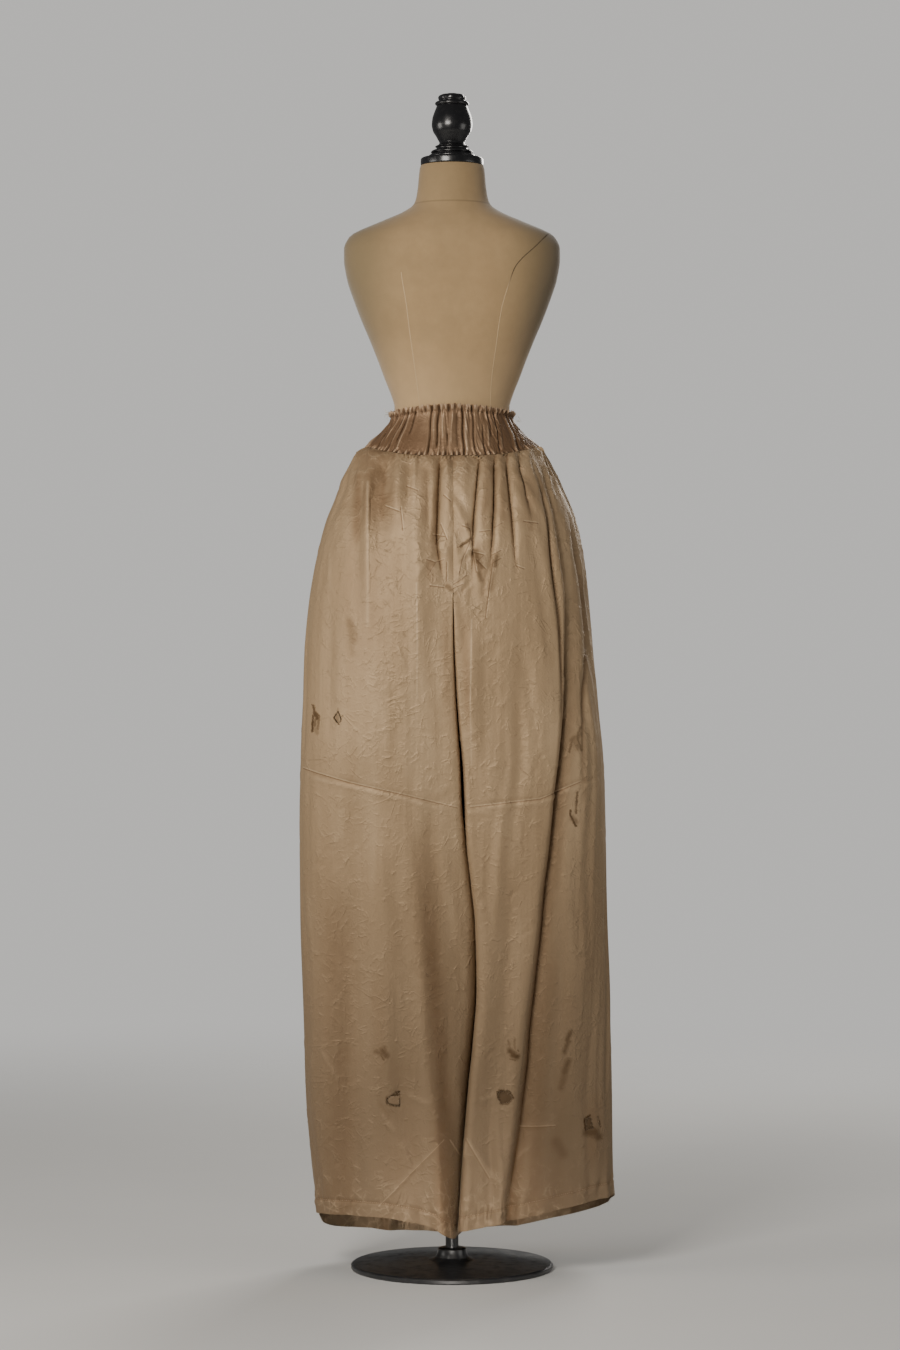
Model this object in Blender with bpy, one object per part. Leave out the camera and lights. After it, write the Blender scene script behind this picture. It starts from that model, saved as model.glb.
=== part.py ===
"""Elastic-waist trousers in silk satin on a limbless dress form, in metres.

The trousers face -Y, the viewer's left leg is at -X, and the stand's base rests on z = 0.
"""

import math

import bpy
import numpy as np

# Cloth and seams
WALL = 0.0018  # cloth of the legs, with its body
BAND_WALL = 0.0026  # two layers of cloth with the elastic between them
SEAM_GAP = 0.0003  # between two pieces that meet
LEFT, RIGHT = -1, 1  # the viewer's left is -X
FRONT, BACK = -1, 1  # the front faces -Y

# Heights above the floor
BAND_TOP_FRONT = 1.462
BAND_TOP_SIDE = 1.452
SEAM_FRONT = 1.3745  # waist seam at the centre front
SEAM_BACK = 1.388
SEAM_SIDE = 1.3956
CROTCH = 1.149  # where the centre seam turns under
CROTCH_FALL = 0.034  # from there down to the inseams at mid depth
HEM_MEAN = 0.085

# Half widths and half depths of the cloth's outer face, by the drop below the waist seam
HANG = {
    "drop": (0.0, 0.006, 0.014, 0.024, 0.040, 0.056, 0.074, 0.093, 0.124, 0.167, 0.210,
             0.270, 0.345, 0.430, 0.530, 0.640, 0.770, 0.940, 1.110, 1.200, 1.300),
    "left": (0.145, 0.157, 0.163, 0.169, 0.178, 0.187, 0.193, 0.200, 0.213, 0.225, 0.234,
             0.242, 0.249, 0.253, 0.257, 0.258, 0.258, 0.253, 0.247, 0.240, 0.229),
    "right": (0.146, 0.152, 0.157, 0.164, 0.173, 0.182, 0.190, 0.199, 0.211, 0.221, 0.228,
              0.234, 0.240, 0.247, 0.257, 0.261, 0.263, 0.268, 0.272, 0.273, 0.276),
    "front": (0.118, 0.125, 0.131, 0.137, 0.145, 0.151, 0.156, 0.160, 0.166, 0.171, 0.174,
              0.176, 0.176, 0.174, 0.170, 0.164, 0.157, 0.148, 0.138, 0.132, 0.126),
    "back": (0.120, 0.127, 0.134, 0.141, 0.150, 0.158, 0.165, 0.171, 0.180, 0.187, 0.190,
             0.190, 0.187, 0.182, 0.175, 0.168, 0.160, 0.151, 0.142, 0.137, 0.132),
    "roundness": (2.00, 2.00, 2.02, 2.04, 2.08, 2.12, 2.16, 2.20, 2.26, 2.34, 2.42,
                  2.48, 2.50, 2.50, 2.50, 2.50, 2.50, 2.50, 2.50, 2.50, 2.50),
}

# The line where the two legs meet, by height: its x, the gap there, and each leg's inner corner
MEETING = {
    "height": (0.060, 0.154, 0.224, 0.329, 0.398, 0.486, 0.590, 0.660, 0.730, 0.803,
               0.850, 0.957, 1.066, 1.125, 1.149, 1.400),
    "x": (0.008, 0.013, 0.018, 0.027, 0.034, 0.040, 0.038, 0.031, 0.023, 0.018,
          0.016, 0.008, 0.003, 0.002, 0.0016, 0.0016),
    "gap": (0.0030, 0.0022, 0.0022, 0.0020, 0.0020, 0.0024, 0.0030, 0.0036, 0.0046, 0.0060,
            0.0056, 0.0030, 0.0016, 0.0007, 0.0003, 0.0003),
    "corner": (0.026, 0.028, 0.030, 0.032, 0.032, 0.032, 0.030, 0.028, 0.026, 0.024,
               0.022, 0.018, 0.010, 0.004, 0.0012, 0.0),
    "flat": (0.085, 0.085, 0.085, 0.085, 0.085, 0.085, 0.085, 0.085, 0.085, 0.084,
             0.083, 0.074, 0.050, 0.034, 0.028, 0.0),
}
POLE_ROOM = 0.0205  # the meeting faces keep this far to the pole's right at mid depth
LEAST_SWAY = 0.012  # and they curve to the right there by at least this
SWAY_REACH = 0.8  # share of the leg's half depth over which they curve

# Hem heights: 0 is the side seam, 1 the leg's inner corner, 2 the inseam
HEM = {
    (LEFT, FRONT): (
        (0.0, 0.099), (0.3, 0.103), (0.55, 0.105), (0.75, 0.098), (0.88, 0.087), (1.0, 0.067),
        (2.0, 0.064),
    ),
    (LEFT, BACK): ((0.0, 0.099), (0.15, 0.078), (0.3, 0.058), (0.6, 0.047), (1.0, 0.040), (2.0, 0.064)),
    (RIGHT, FRONT): ((0.0, 0.129), (0.25, 0.125), (0.5, 0.113), (0.75, 0.097), (1.0, 0.081), (2.0, 0.066)),
    (RIGHT, BACK): ((0.0, 0.129), (0.2, 0.100), (0.5, 0.068), (0.8, 0.050), (1.0, 0.046), (2.0, 0.066)),
}

# Soft folds, seen from the front (or from behind, with x as in the room). Each has its depth (below 0
# it is a ridge), how far it reaches to its left and its right, the grid columns that follow it with
# their offsets in x, and its course as (height, x) points.
FRONT_FOLDS = (
    {"depth": 0.007, "reach": (0.010, 0.006), "columns": ((18, 0.0),),
     "course": ((1.374, -0.020), (1.298, -0.023), (1.232, -0.025), (1.182, -0.018), (1.150, -0.006))},
    {"depth": 0.005, "reach": (0.008, 0.008), "columns": ((17, 0.0),),
     "course": ((1.374, 0.048), (1.315, 0.041), (1.248, 0.035), (1.174, 0.033))},
    {"depth": 0.007, "reach": (0.008, 0.007), "columns": ((15, 0.0),),
     "course": ((1.376, 0.073), (1.298, 0.071), (1.248, 0.068), (1.205, 0.064))},
    {"depth": 0.008, "reach": (0.009, 0.007), "columns": ((13, 0.0),),
     "course": ((1.372, 0.092), (1.298, 0.098), (1.248, 0.102), (1.185, 0.104))},
    {"depth": 0.024, "reach": (0.013, 0.030), "columns": ((10, 0.0), (12, -0.021)),
     "course": ((1.370, 0.126), (1.321, 0.146), (1.263, 0.159), (1.192, 0.165), (1.061, 0.177),
                (0.991, 0.181), (0.922, 0.178), (0.748, 0.166), (0.607, 0.150), (0.478, 0.133),
                (0.345, 0.119), (0.240, 0.108), (0.100, 0.094))},
    {"depth": 0.009, "reach": (0.009, 0.010), "columns": ((6, 0.0),),
     "course": ((1.330, 0.174), (1.265, 0.192), (1.199, 0.204), (1.115, 0.212), (1.000, 0.219),
                (0.817, 0.218), (0.700, 0.220))},
    {"depth": -0.006, "reach": (0.014, 0.014), "columns": ((18, 0.0),),
     "course": ((1.100, 0.034), (1.060, 0.033), (0.960, 0.034), (0.800, 0.040))},
    {"depth": -0.006, "reach": (0.012, 0.014), "columns": ((9, 0.0),),
     "course": ((1.350, -0.136), (1.300, -0.138), (1.200, -0.139), (1.080, -0.140))},
    {"depth": 0.006, "reach": (0.014, 0.012), "columns": ((7, 0.0),),
     "course": ((1.350, -0.154), (1.240, -0.160), (1.150, -0.160), (1.050, -0.160))},
    {"depth": 0.007, "reach": (0.014, 0.014), "columns": ((11, 0.0),),
     "course": ((1.372, -0.117), (1.300, -0.119), (1.190, -0.119))},
    {"depth": -0.005, "reach": (0.012, 0.012), "columns": ((13, 0.0),),
     "course": ((1.364, -0.088), (1.320, -0.090), (1.260, -0.092))},
    {"depth": 0.005, "reach": (0.010, 0.010), "columns": ((14, 0.0),),
     "course": ((1.366, -0.070), (1.320, -0.073), (1.250, -0.076))},
    {"depth": -0.006, "reach": (0.013, 0.016), "columns": ((16, 0.0),),
     "course": ((1.300, -0.056), (1.200, -0.058), (1.080, -0.058), (0.950, -0.058))},
    {"depth": 0.006, "reach": (0.010, 0.010), "columns": ((17, 0.0),),
     "course": ((1.366, -0.040), (1.280, -0.040), (1.190, -0.039))},
    {"depth": -0.007, "reach": (0.030, 0.016), "columns": ((16, 0.0), (17, 0.018)),
     "course": ((0.800, -0.080), (0.590, -0.053), (0.486, -0.045), (0.363, -0.038), (0.294, -0.030),
                (0.224, -0.022), (0.080, -0.014))},
    {"depth": 0.008, "reach": (0.030, 0.030), "columns": ((10, 0.0),),
     "course": ((0.900, -0.150), (0.700, -0.158), (0.500, -0.165), (0.300, -0.168), (0.100, -0.170))},
    {"depth": 0.007, "reach": (0.022, 0.022), "columns": ((16, 0.0),),
     "course": ((0.700, 0.100), (0.500, 0.084), (0.300, 0.068), (0.120, 0.060))},
)
BACK_FOLDS = (
    {"depth": 0.010, "reach": (0.010, 0.012), "columns": ((17, 0.0),),
     "course": ((1.380, -0.022), (1.310, -0.030), (1.230, -0.036), (1.160, -0.030))},
    {"depth": 0.009, "reach": (0.010, 0.009), "columns": ((17, 0.0),),
     "course": ((1.382, 0.026), (1.300, 0.032), (1.215, 0.038), (1.150, 0.034))},
    {"depth": 0.008, "reach": (0.009, 0.010), "columns": ((14, 0.0),),
     "course": ((1.384, -0.066), (1.300, -0.074), (1.200, -0.080), (1.100, -0.082))},
    {"depth": 0.020, "reach": (0.024, 0.014), "columns": ((10, 0.0), (12, 0.022)),
     "course": ((1.380, -0.108), (1.320, -0.128), (1.240, -0.142), (1.120, -0.152), (0.960, -0.158),
                (0.760, -0.152), (0.560, -0.140), (0.360, -0.126), (0.080, -0.112))},
    {"depth": 0.008, "reach": (0.010, 0.010), "columns": ((6, 0.0),),
     "course": ((1.340, -0.166), (1.260, -0.190), (1.140, -0.206), (0.980, -0.214), (0.800, -0.214))},
    {"depth": 0.009, "reach": (0.010, 0.010), "columns": ((14, 0.0),),
     "course": ((1.384, 0.066), (1.300, 0.078), (1.210, 0.086), (1.120, 0.088))},
    {"depth": 0.018, "reach": (0.014, 0.026), "columns": ((11, 0.0), (13, -0.022)),
     "course": ((1.378, 0.112), (1.310, 0.134), (1.230, 0.148), (1.100, 0.160), (0.940, 0.168),
                (0.740, 0.162), (0.540, 0.148), (0.340, 0.130), (0.100, 0.116))},
    {"depth": 0.007, "reach": (0.010, 0.010), "columns": ((6, 0.0),),
     "course": ((1.330, 0.174), (1.250, 0.194), (1.140, 0.208), (0.990, 0.218), (0.860, 0.220))},
    {"depth": -0.008, "reach": (0.018, 0.018), "columns": ((16, 0.0),),
     "course": ((1.050, -0.052), (0.900, -0.060), (0.640, -0.058), (0.300, -0.046), (0.080, -0.044))},
    {"depth": -0.008, "reach": (0.018, 0.018), "columns": ((16, 0.0),),
     "course": ((1.060, 0.078), (0.860, 0.082), (0.600, 0.088), (0.340, 0.080), (0.090, 0.072))},
)
FOLD_TOP_FADE = 0.22  # share of a fold's course over which it fades in below its top
FOLD_END_FADE = 0.30  # and out at its lower end
AT_WAIST = 0.02  # a fold that begins this near the waist seam has part of its depth at once
AT_HEM = 0.15  # a fold that ends lower than this runs out through the hem
SEAM_FLAT = 0.03  # folds grow from little to full over this drop below the waist seam
SIDE_FLAT = 0.10  # and over this share of a panel from its side seam
CENTRE_FLAT = 0.06  # and, below the crotch, over this share from the leg's inner corner
COLUMN_FADE = 0.25  # a column leaves a fold's course over this height past its end
LEAST_COLUMN = 0.30  # the narrowest column, as a share of an even one
GATHER_DEPTH = 0.0030  # small gathers below the waist seam, one for each second column
GATHER_FADE = 0.055  # they die out over this drop
GATHER_START = 0.008  # and have grown to full at this one

# Grid of a panel: the share of the drop at the rows above the crotch, and below it the share of what
# is left
CROTCH_SHARE = (SEAM_FRONT - CROTCH) / (SEAM_FRONT - HEM_MEAN)
ROWS_ABOVE = (0.0, 0.007, 0.019, 0.040, 0.068, 0.102, 0.138)
ROWS_BELOW = (0.018, 0.046, 0.089, 0.159, 0.255, 0.363, 0.471, 0.586, 0.701, 0.815, 0.911, 1.0)
CROTCH_ROWS = 0.18  # the rows below the crotch are level again after this share of the drop
EDGE_ROWS = 8  # how closely only the rows next to a seam or hem follow its line, as a power
FACE_COLUMNS = 20  # from the side seam to the leg's inner corner
INNER_COLUMNS = 5  # from there to the inseam

# Rips that go right through, as outlines seen from the front: (x, height)
RIP_NEAR, RIP_FAR = -0.30, -0.03  # from in front of the cloth to inside the leg
RIPS = {
    "right_front": (
        ((0.0750, 0.3140), (0.0795, 0.3170), (0.0925, 0.3172), (0.0970, 0.3150), (0.1015, 0.3045),
         (0.0940, 0.2968), (0.0810, 0.2955), (0.0765, 0.3035)),
        ((0.2235, 0.2610), (0.2300, 0.2655), (0.2340, 0.2625), (0.2360, 0.2540), (0.2385, 0.2450),
         (0.2255, 0.2440)),
    ),
    "left_front": (
        ((-0.1025, 0.3085), (-0.0935, 0.3160), (-0.0865, 0.3175), (-0.0870, 0.3090)),
    ),
}

# Waistband: half widths and half depths of its outer face and its gathers, by share of its rise
BAND = {
    "rise": (0.0, 0.22, 0.55, 0.86, 1.0),
    "left": (0.1450, 0.1380, 0.1190, 0.1040, 0.1060),
    "right": (0.1460, 0.1390, 0.1200, 0.1040, 0.1070),
    "front": (0.1180, 0.1115, 0.0985, 0.0895, 0.0915),
    "back": (0.1200, 0.1135, 0.1000, 0.0903, 0.0925),
    "gather": (0.0022, 0.0026, 0.0026, 0.0012, 0.0024),
}
BAND_GATHERS = 40
BAND_COLUMNS = 180
HEADING_RUFFLE = 0.0016  # how far the cut top edge goes up and down
RUFFLES_A_GATHER = 1.5
RUFFLE_ROWS = 6  # the ruffle stays near the top edge, as a power

# Dress form, from its flat underside to the neck's top
FORM = {
    "height": (1.176, 1.182, 1.200, 1.240, 1.280, 1.330, 1.370, 1.400, 1.430, 1.445, 1.462, 1.484,
               1.510, 1.544, 1.578, 1.612, 1.646, 1.680, 1.714, 1.731, 1.748, 1.756, 1.765, 1.773,
               1.782, 1.790, 1.799, 1.807, 1.833, 1.868, 1.8734),
    "half_width": (0.164, 0.171, 0.172, 0.171, 0.166, 0.150, 0.133, 0.118, 0.1035, 0.0995,
                   0.0978, 0.1037, 0.114, 0.1267, 0.1403, 0.1547, 0.1675, 0.1785, 0.1836, 0.1836,
                   0.177, 0.169, 0.151, 0.132, 0.111, 0.0918, 0.0756, 0.0646, 0.0586, 0.0550, 0.0535),
    "front": (0.131, 0.138, 0.139, 0.137, 0.131, 0.119, 0.106, 0.096, 0.0875, 0.0855, 0.084, 0.086,
              0.091, 0.097, 0.102, 0.105, 0.106, 0.102, 0.094, 0.090, 0.085, 0.082, 0.078, 0.074,
              0.070, 0.066, 0.063, 0.061, 0.056, 0.053, 0.0515),
    "back": (0.145, 0.152, 0.154, 0.153, 0.147, 0.131, 0.112, 0.099, 0.089, 0.0865, 0.085, 0.086,
             0.088, 0.091, 0.094, 0.097, 0.100, 0.101, 0.100, 0.098, 0.094, 0.091, 0.086, 0.081,
             0.075, 0.069, 0.065, 0.062, 0.057, 0.054, 0.0525),
    "roundness": (2.3, 2.3, 2.3, 2.3, 2.25, 2.15, 2.05, 2.0, 2.0, 2.0, 2.0, 2.0,
                  2.05, 2.1, 2.2, 2.3, 2.4, 2.6, 2.8, 2.8, 2.6, 2.5, 2.4, 2.3,
                  2.2, 2.1, 2.0, 2.0, 2.0, 2.0, 2.0),
}
FORM_SIDES = 32

# Turned neck cap and finial, as (radius, height above the neck's top) from the bottom up
CAP_PROFILE = ((0.0520, 0.0), (0.0530, 0.0012), (0.0530, 0.0110), (0.0515, 0.0128))
FINIAL_PROFILE = (
    (0.0360, 0.0), (0.0400, 0.0020), (0.0400, 0.0045), (0.0340, 0.0062), (0.0330, 0.0080),
    (0.0355, 0.0098), (0.0355, 0.0120), (0.0280, 0.0140), (0.0265, 0.0170), (0.0285, 0.0195),
    (0.0215, 0.0265), (0.0270, 0.0370), (0.0325, 0.0460),
    (0.0345, 0.0560), (0.0335, 0.0670), (0.0300, 0.0780), (0.0255, 0.0895),
    (0.0285, 0.0912), (0.0285, 0.0945), (0.0225, 0.0985), (0.0235, 0.1030),
    (0.0205, 0.1070), (0.0130, 0.1100),
)
TURNED_SIDES = 24

# Stand
POLE_RADIUS = 0.011
BASE_PROFILE = (
    (0.170, 0.0), (0.1715, 0.0020), (0.1715, 0.0065), (0.168, 0.0095), (0.120, 0.0125),
    (0.040, 0.0150), (0.028, 0.0200), (0.024, 0.0330), (0.022, 0.0350),
)
BASE_SIDES = 36


def clear_scene():
    for obj in list(bpy.data.objects):
        bpy.data.objects.remove(obj, do_unlink=True)


def material(name, colour, roughness, metallic=0.0):
    made = bpy.data.materials.new(name)
    made.use_nodes = True
    shader = made.node_tree.nodes["Principled BSDF"]
    shader.inputs["Base Color"].default_value = (*colour, 1.0)
    shader.inputs["Roughness"].default_value = roughness
    shader.inputs["Metallic"].default_value = metallic
    made.diffuse_color = (*colour, 1.0)
    return made


def smooth_read(at, known, values):
    """Reads a table by its known places, with a smooth curve that never swings past its points."""
    known = np.asarray(known, float)
    values = np.asarray(values, float)
    at = np.clip(np.asarray(at, float), known[0], known[-1])
    step = np.diff(known)
    rise = np.diff(values) / step
    slope = np.zeros_like(values)
    slope[0] = rise[0]
    slope[-1] = rise[-1]
    steady = rise[:-1] * rise[1:] > 0
    slope[1:-1][steady] = 2 * (rise[:-1] * rise[1:])[steady] / (rise[:-1] + rise[1:])[steady]
    cell = np.clip(np.searchsorted(known, at, side="right") - 1, 0, len(step) - 1)
    t = (at - known[cell]) / step[cell]
    return (
        values[cell] * (1 + 2 * t) * (1 - t) ** 2
        + values[cell + 1] * t**2 * (3 - 2 * t)
        + step[cell] * t * (1 - t) * (slope[cell] * (1 - t) - slope[cell + 1] * t)
    )


def ease(share):
    share = np.clip(share, 0.0, 1.0)
    return share * share * (3 - 2 * share)


def seam_height(x, face):
    """Height of the waist seam, which rises towards the side seams."""
    middle = SEAM_FRONT if face == FRONT else SEAM_BACK
    return middle + (SEAM_SIDE - middle) * np.minimum(np.abs(x) / HANG["left"][0], 1.0) ** 3


def cross_section(side, face, across, drop, height):
    """Points on the cloth's outer face without folds. across is 0 at the side seam, 1 at the leg's
    inner corner (the centre seam above the crotch) and 2 at the inseam."""
    drop, height, across = (np.asarray(a, float).ravel() for a in (drop, height, across))
    width = smooth_read(drop, HANG["drop"], HANG["left" if side == LEFT else "right"])
    depth = smooth_read(drop, HANG["drop"], HANG["front" if face == FRONT else "back"])
    power = 2.0 / smooth_read(drop, HANG["drop"], HANG["roundness"])
    line = smooth_read(height, MEETING["height"], MEETING["x"])
    inner = side * line + smooth_read(height, MEETING["height"], MEETING["gap"]) / 2
    corner = smooth_read(height, MEETING["height"], MEETING["corner"])
    centre = inner + smooth_read(height, MEETING["height"], MEETING["flat"])
    turn = np.linspace(0.0, math.pi / 2, 48)[None, :]
    quarter_x = centre[:, None] + (width - centre)[:, None] * np.cos(turn).clip(0) ** power[:, None]
    quarter_y = depth[:, None] * np.sin(turn).clip(0) ** power[:, None]
    half_arc = np.linspace(0.0, math.pi / 4, 6)[None, :]
    arc_x = (inner + corner)[:, None] - corner[:, None] * np.sin(half_arc)
    arc_y = (depth - corner)[:, None] + corner[:, None] * np.cos(half_arc)
    rest_arc = np.linspace(math.pi / 4, math.pi / 2, 6)[None, :]
    rest_x = (inner + corner)[:, None] - corner[:, None] * np.sin(rest_arc)
    rest_y = (depth - corner)[:, None] + corner[:, None] * np.cos(rest_arc)
    down = np.linspace(0.0, 1.0, 24)[None, :]
    wall_y = (depth - corner)[:, None] * (1 - down)
    room = np.maximum(POLE_ROOM - line, LEAST_SWAY)
    sway = ease(1 - wall_y / (SWAY_REACH * depth[:, None]))
    wall_x = inner[:, None] + side * room[:, None] * sway
    outer = along(np.hstack([quarter_x, arc_x]), np.hstack([quarter_y, arc_y]), across)
    inside = along(np.hstack([rest_x, wall_x]), np.hstack([rest_y, wall_y]), across - 1)
    local = np.where((across <= 1)[:, None], outer, inside)
    return np.column_stack([side * local[:, 0], face * local[:, 1], height])


def along(xs, ys, share):
    """The point at this share of the length of each row's own curve."""
    steps = np.hypot(np.diff(xs, axis=1), np.diff(ys, axis=1))
    length = np.hstack([np.zeros((len(xs), 1)), np.cumsum(steps, axis=1)])
    target = np.clip(share, 0.0, 1.0) * length[:, -1]
    cell = np.clip((length <= target[:, None]).sum(axis=1) - 1, 0, steps.shape[1] - 1)
    row = np.arange(len(xs))
    part = (target - length[row, cell]) / np.maximum(steps[row, cell], 1e-12)
    part = np.clip(part, 0.0, 1.0)
    return np.column_stack([
        xs[row, cell] + part * (xs[row, cell + 1] - xs[row, cell]),
        ys[row, cell] + part * (ys[row, cell + 1] - ys[row, cell]),
    ])


def column_places(side, face, drop, height):
    """Where the columns 0, 2, ... FACE_COLUMNS lie across a panel at this height, as table rows of
    column and across, so that they follow the folds."""
    fine = np.linspace(0.0, 1.0, 121)
    level = np.full(len(fine), height)
    x = cross_section(side, face, fine, np.full(len(fine), drop), level)[:, 0]
    places = {0.0: 0.0, float(FACE_COLUMNS): 1.0}
    folds = [f for f in (FRONT_FOLDS if face == FRONT else BACK_FOLDS) if f["course"][0][1] * side > 0]
    folds.sort(key=lambda fold: fold["course"][-1][0] - fold["course"][0][0])
    for fold in folds:
        heights, xs = (np.array(v)[::-1] for v in zip(*fold["course"]))
        middle = float(smooth_read(height, heights, xs))
        past = max(heights[0] - height, height - heights[-1], 0.0)
        hold = float(ease(1 - past / COLUMN_FADE))
        for column, offset in fold["columns"]:
            known = sorted(places)
            free = float(np.interp(column, known, [places[k] for k in known]))
            near = float(np.interp(side * (middle + offset), (side * x)[::-1], fine[::-1]))
            places[float(column)] = hold * near + (1 - hold) * free
    known = np.array(sorted(places))
    across = np.array([places[k] for k in known])
    least = LEAST_COLUMN * known / FACE_COLUMNS
    across = np.maximum.accumulate(across - least) + least
    return known, across / across[-1]


def panel_grid(side, face, columns, rows_above, rows_below):
    """Outer points of a panel without folds, its quads, and what each point needs to know.
    The grid is L-shaped: the columns of the leg's inner side begin at the crotch seam."""
    lower = CROTCH_SHARE + (1 - CROTCH_SHARE) * np.array(rows_below)
    shares = np.array([*rows_above, CROTCH_SHARE, *lower])
    crotch_row = len(rows_above)
    last = sum(columns)
    place, points = {}, []
    even = np.linspace(0.0, FACE_COLUMNS, columns[0] + 1)
    level = np.full(columns[0] + 1, SEAM_FRONT)
    top_across = np.interp(even, *column_places(side, face, 0.0, SEAM_FRONT))
    top = cross_section(side, face, top_across, np.zeros(columns[0] + 1), level)
    for row, share in enumerate(shares):
        middle_drop = (SEAM_FRONT - HEM_MEAN) * share
        spread = np.interp(even, *column_places(side, face, middle_drop, SEAM_FRONT - middle_drop))
        for column in range(last + 1 if row >= crotch_row else columns[0] + 1):
            if column <= columns[0]:
                across = spread[column]
                fall = 0.0
            else:
                across = 1 + (column - columns[0]) / columns[1]
                below = float(ease(1 - (share - shares[crotch_row]) / CROTCH_ROWS))
                fall = CROTCH_FALL * math.sin((across - 1) * math.pi / 2) * below
            seam = float(seam_height(top[min(column, columns[0]), 0], face))
            hem_at, hem_height = zip(*HEM[side, face])
            hem = float(smooth_read(across, hem_at, hem_height))
            height = SEAM_FRONT + (HEM_MEAN - SEAM_FRONT) * share
            height += (seam - SEAM_GAP - SEAM_FRONT) * (1 - share) ** EDGE_ROWS
            height += (hem - HEM_MEAN) * share**EDGE_ROWS - fall
            place[row, column] = len(points)
            points.append((across, seam - height, height, row, column))
    quads = []
    for row, column in place:
        corners = [(row, column), (row, column + 1), (row + 1, column + 1), (row + 1, column)]
        if all(c in place for c in corners):
            quads.append([place[c] for c in corners])
    across, drop, height, row, column = np.array(points).T
    flat = cross_section(side, face, across, drop, height)
    return flat, np.array(quads), across, drop, row, column, crotch_row


def point_normals(points, quads):
    """Area-weighted normals of a quad mesh."""
    corner = points[quads]
    area = np.cross(corner[:, 2] - corner[:, 0], corner[:, 3] - corner[:, 1])
    normals = np.zeros_like(points)
    for k in range(4):
        np.add.at(normals, quads[:, k], area)
    return normals / np.maximum(np.linalg.norm(normals, axis=1, keepdims=True), 1e-12)


def fold_depth(x, height, folds):
    """How far the folds push the cloth in at each point. A fold that begins near the waist seam is
    there at once, and one that ends near the hem runs out through it."""
    total = np.zeros_like(x)
    for fold in folds:
        heights, xs = (np.array(v) for v in zip(*fold["course"]))
        middle = smooth_read(height, heights[::-1], xs[::-1])
        length = heights[0] - heights[-1]
        start = 0.35 if heights[0] > SEAM_FRONT - AT_WAIST else 0.0
        upper = ease((heights[0] - height) / (FOLD_TOP_FADE * length) + start)
        lower = ease((height - heights[-1]) / (FOLD_END_FADE * length))
        if heights[-1] < AT_HEM:
            lower = np.ones_like(height)
        inside = upper * lower
        away = x - middle
        reach = np.where(away < 0, *fold["reach"])
        total += fold["depth"] * inside * np.exp(-((away / reach) ** 2))
    return total


def seam_safe(normals, side, across, row, crotch_row):
    """Turns the normals on a panel's edges so that its wall stays on its own side of each seam."""
    normals = normals.copy()
    centre = (across == 1) & (row < crotch_row)
    normals[centre, 0] = 0.0
    normals[across == 0, 1] = 0.0
    normals[across == 2, 1] = 0.0
    crotch = (across > 1) & (row == crotch_row)
    normals[crotch] = (-side, 0.0, 0.0)
    normals[(row == 0), 2] = 0.0
    return normals / np.linalg.norm(normals, axis=1, keepdims=True)


def panel(name, side, face, finish):
    """One leg panel from the waist seam to the hem, as a closed wall of cloth."""
    columns = (FACE_COLUMNS, INNER_COLUMNS)
    grid = panel_grid(side, face, columns, ROWS_ABOVE, ROWS_BELOW)
    flat, quads, across, drop, row, column, crotch_row = grid
    if side * face > 0:
        quads = quads[:, ::-1]
    facing = point_normals(flat, quads)
    facing[:, 2] = 0.0
    facing /= np.linalg.norm(facing, axis=1, keepdims=True)
    folds = FRONT_FOLDS if face == FRONT else BACK_FOLDS
    above = drop < SEAM_FRONT - CROTCH
    held = ease(across / SIDE_FLAT) * ease((1.0 - across) / CENTRE_FLAT + above)
    push = fold_depth(flat[:, 0], flat[:, 2], folds) * held * ease(drop / SEAM_FLAT + 0.15)
    waves = np.cos(math.pi * column * FACE_COLUMNS / columns[0]) * np.exp(-drop / GATHER_FADE)
    push += GATHER_DEPTH * waves * (across <= 1) * ease(drop / GATHER_START + 0.35)
    outer = flat - facing * push[:, None]
    keep = side * outer[:, 0] >= side * flat[:, 0]
    outer[:, 0] = np.where((across > 0.9) & ~keep, flat[:, 0], outer[:, 0])
    normals = seam_safe(point_normals(outer, quads), side, across, row, crotch_row)
    outer[:, 1] += face * np.where((across == 0) | (across == 2), SEAM_GAP / 2, 0.0)
    return wall_object(name, outer, outer - WALL * normals, quads, finish)


def halves(quad, points):
    """A quad as two triangles, parted along its shorter diagonal."""
    a, b, c, d = (int(i) for i in quad)
    if np.linalg.norm(points[a] - points[c]) <= np.linalg.norm(points[b] - points[d]):
        return (a, b, c), (a, c, d)
    return (a, b, d), (b, c, d)


def wall_object(name, outer, inner, quads, finish):
    """A closed wall between an outer and an inner skin that share their quads. Both skins part each
    quad along the same diagonal, so they stay one wall apart where the cloth twists."""
    count = len(outer)
    edges = {}
    for quad in quads:
        for k in range(4):
            edges[int(quad[k]), int(quad[(k + 1) % 4])] = True
    faces = []
    for quad in quads:
        for a, b, c in halves(quad, outer):
            faces.append((a, b, c))
            faces.append((c + count, b + count, a + count))
    rim = [(a, b) for a, b in edges if (b, a) not in edges]
    faces += [(b, a, a + count, b + count) for a, b in rim]
    return mesh_object(name, np.vstack([outer, inner]), faces, finish)


def mesh_object(name, points, faces, finish, sharp_angle=40.0):
    mesh = bpy.data.meshes.new(name)
    mesh.from_pydata([tuple(map(float, p)) for p in points], [], faces)
    mesh.validate()
    mesh.materials.append(finish)
    mesh.shade_smooth()
    mesh.set_sharp_from_angle(angle=math.radians(sharp_angle))
    obj = bpy.data.objects.new(name, mesh)
    bpy.context.scene.collection.objects.link(obj)
    return obj


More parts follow.
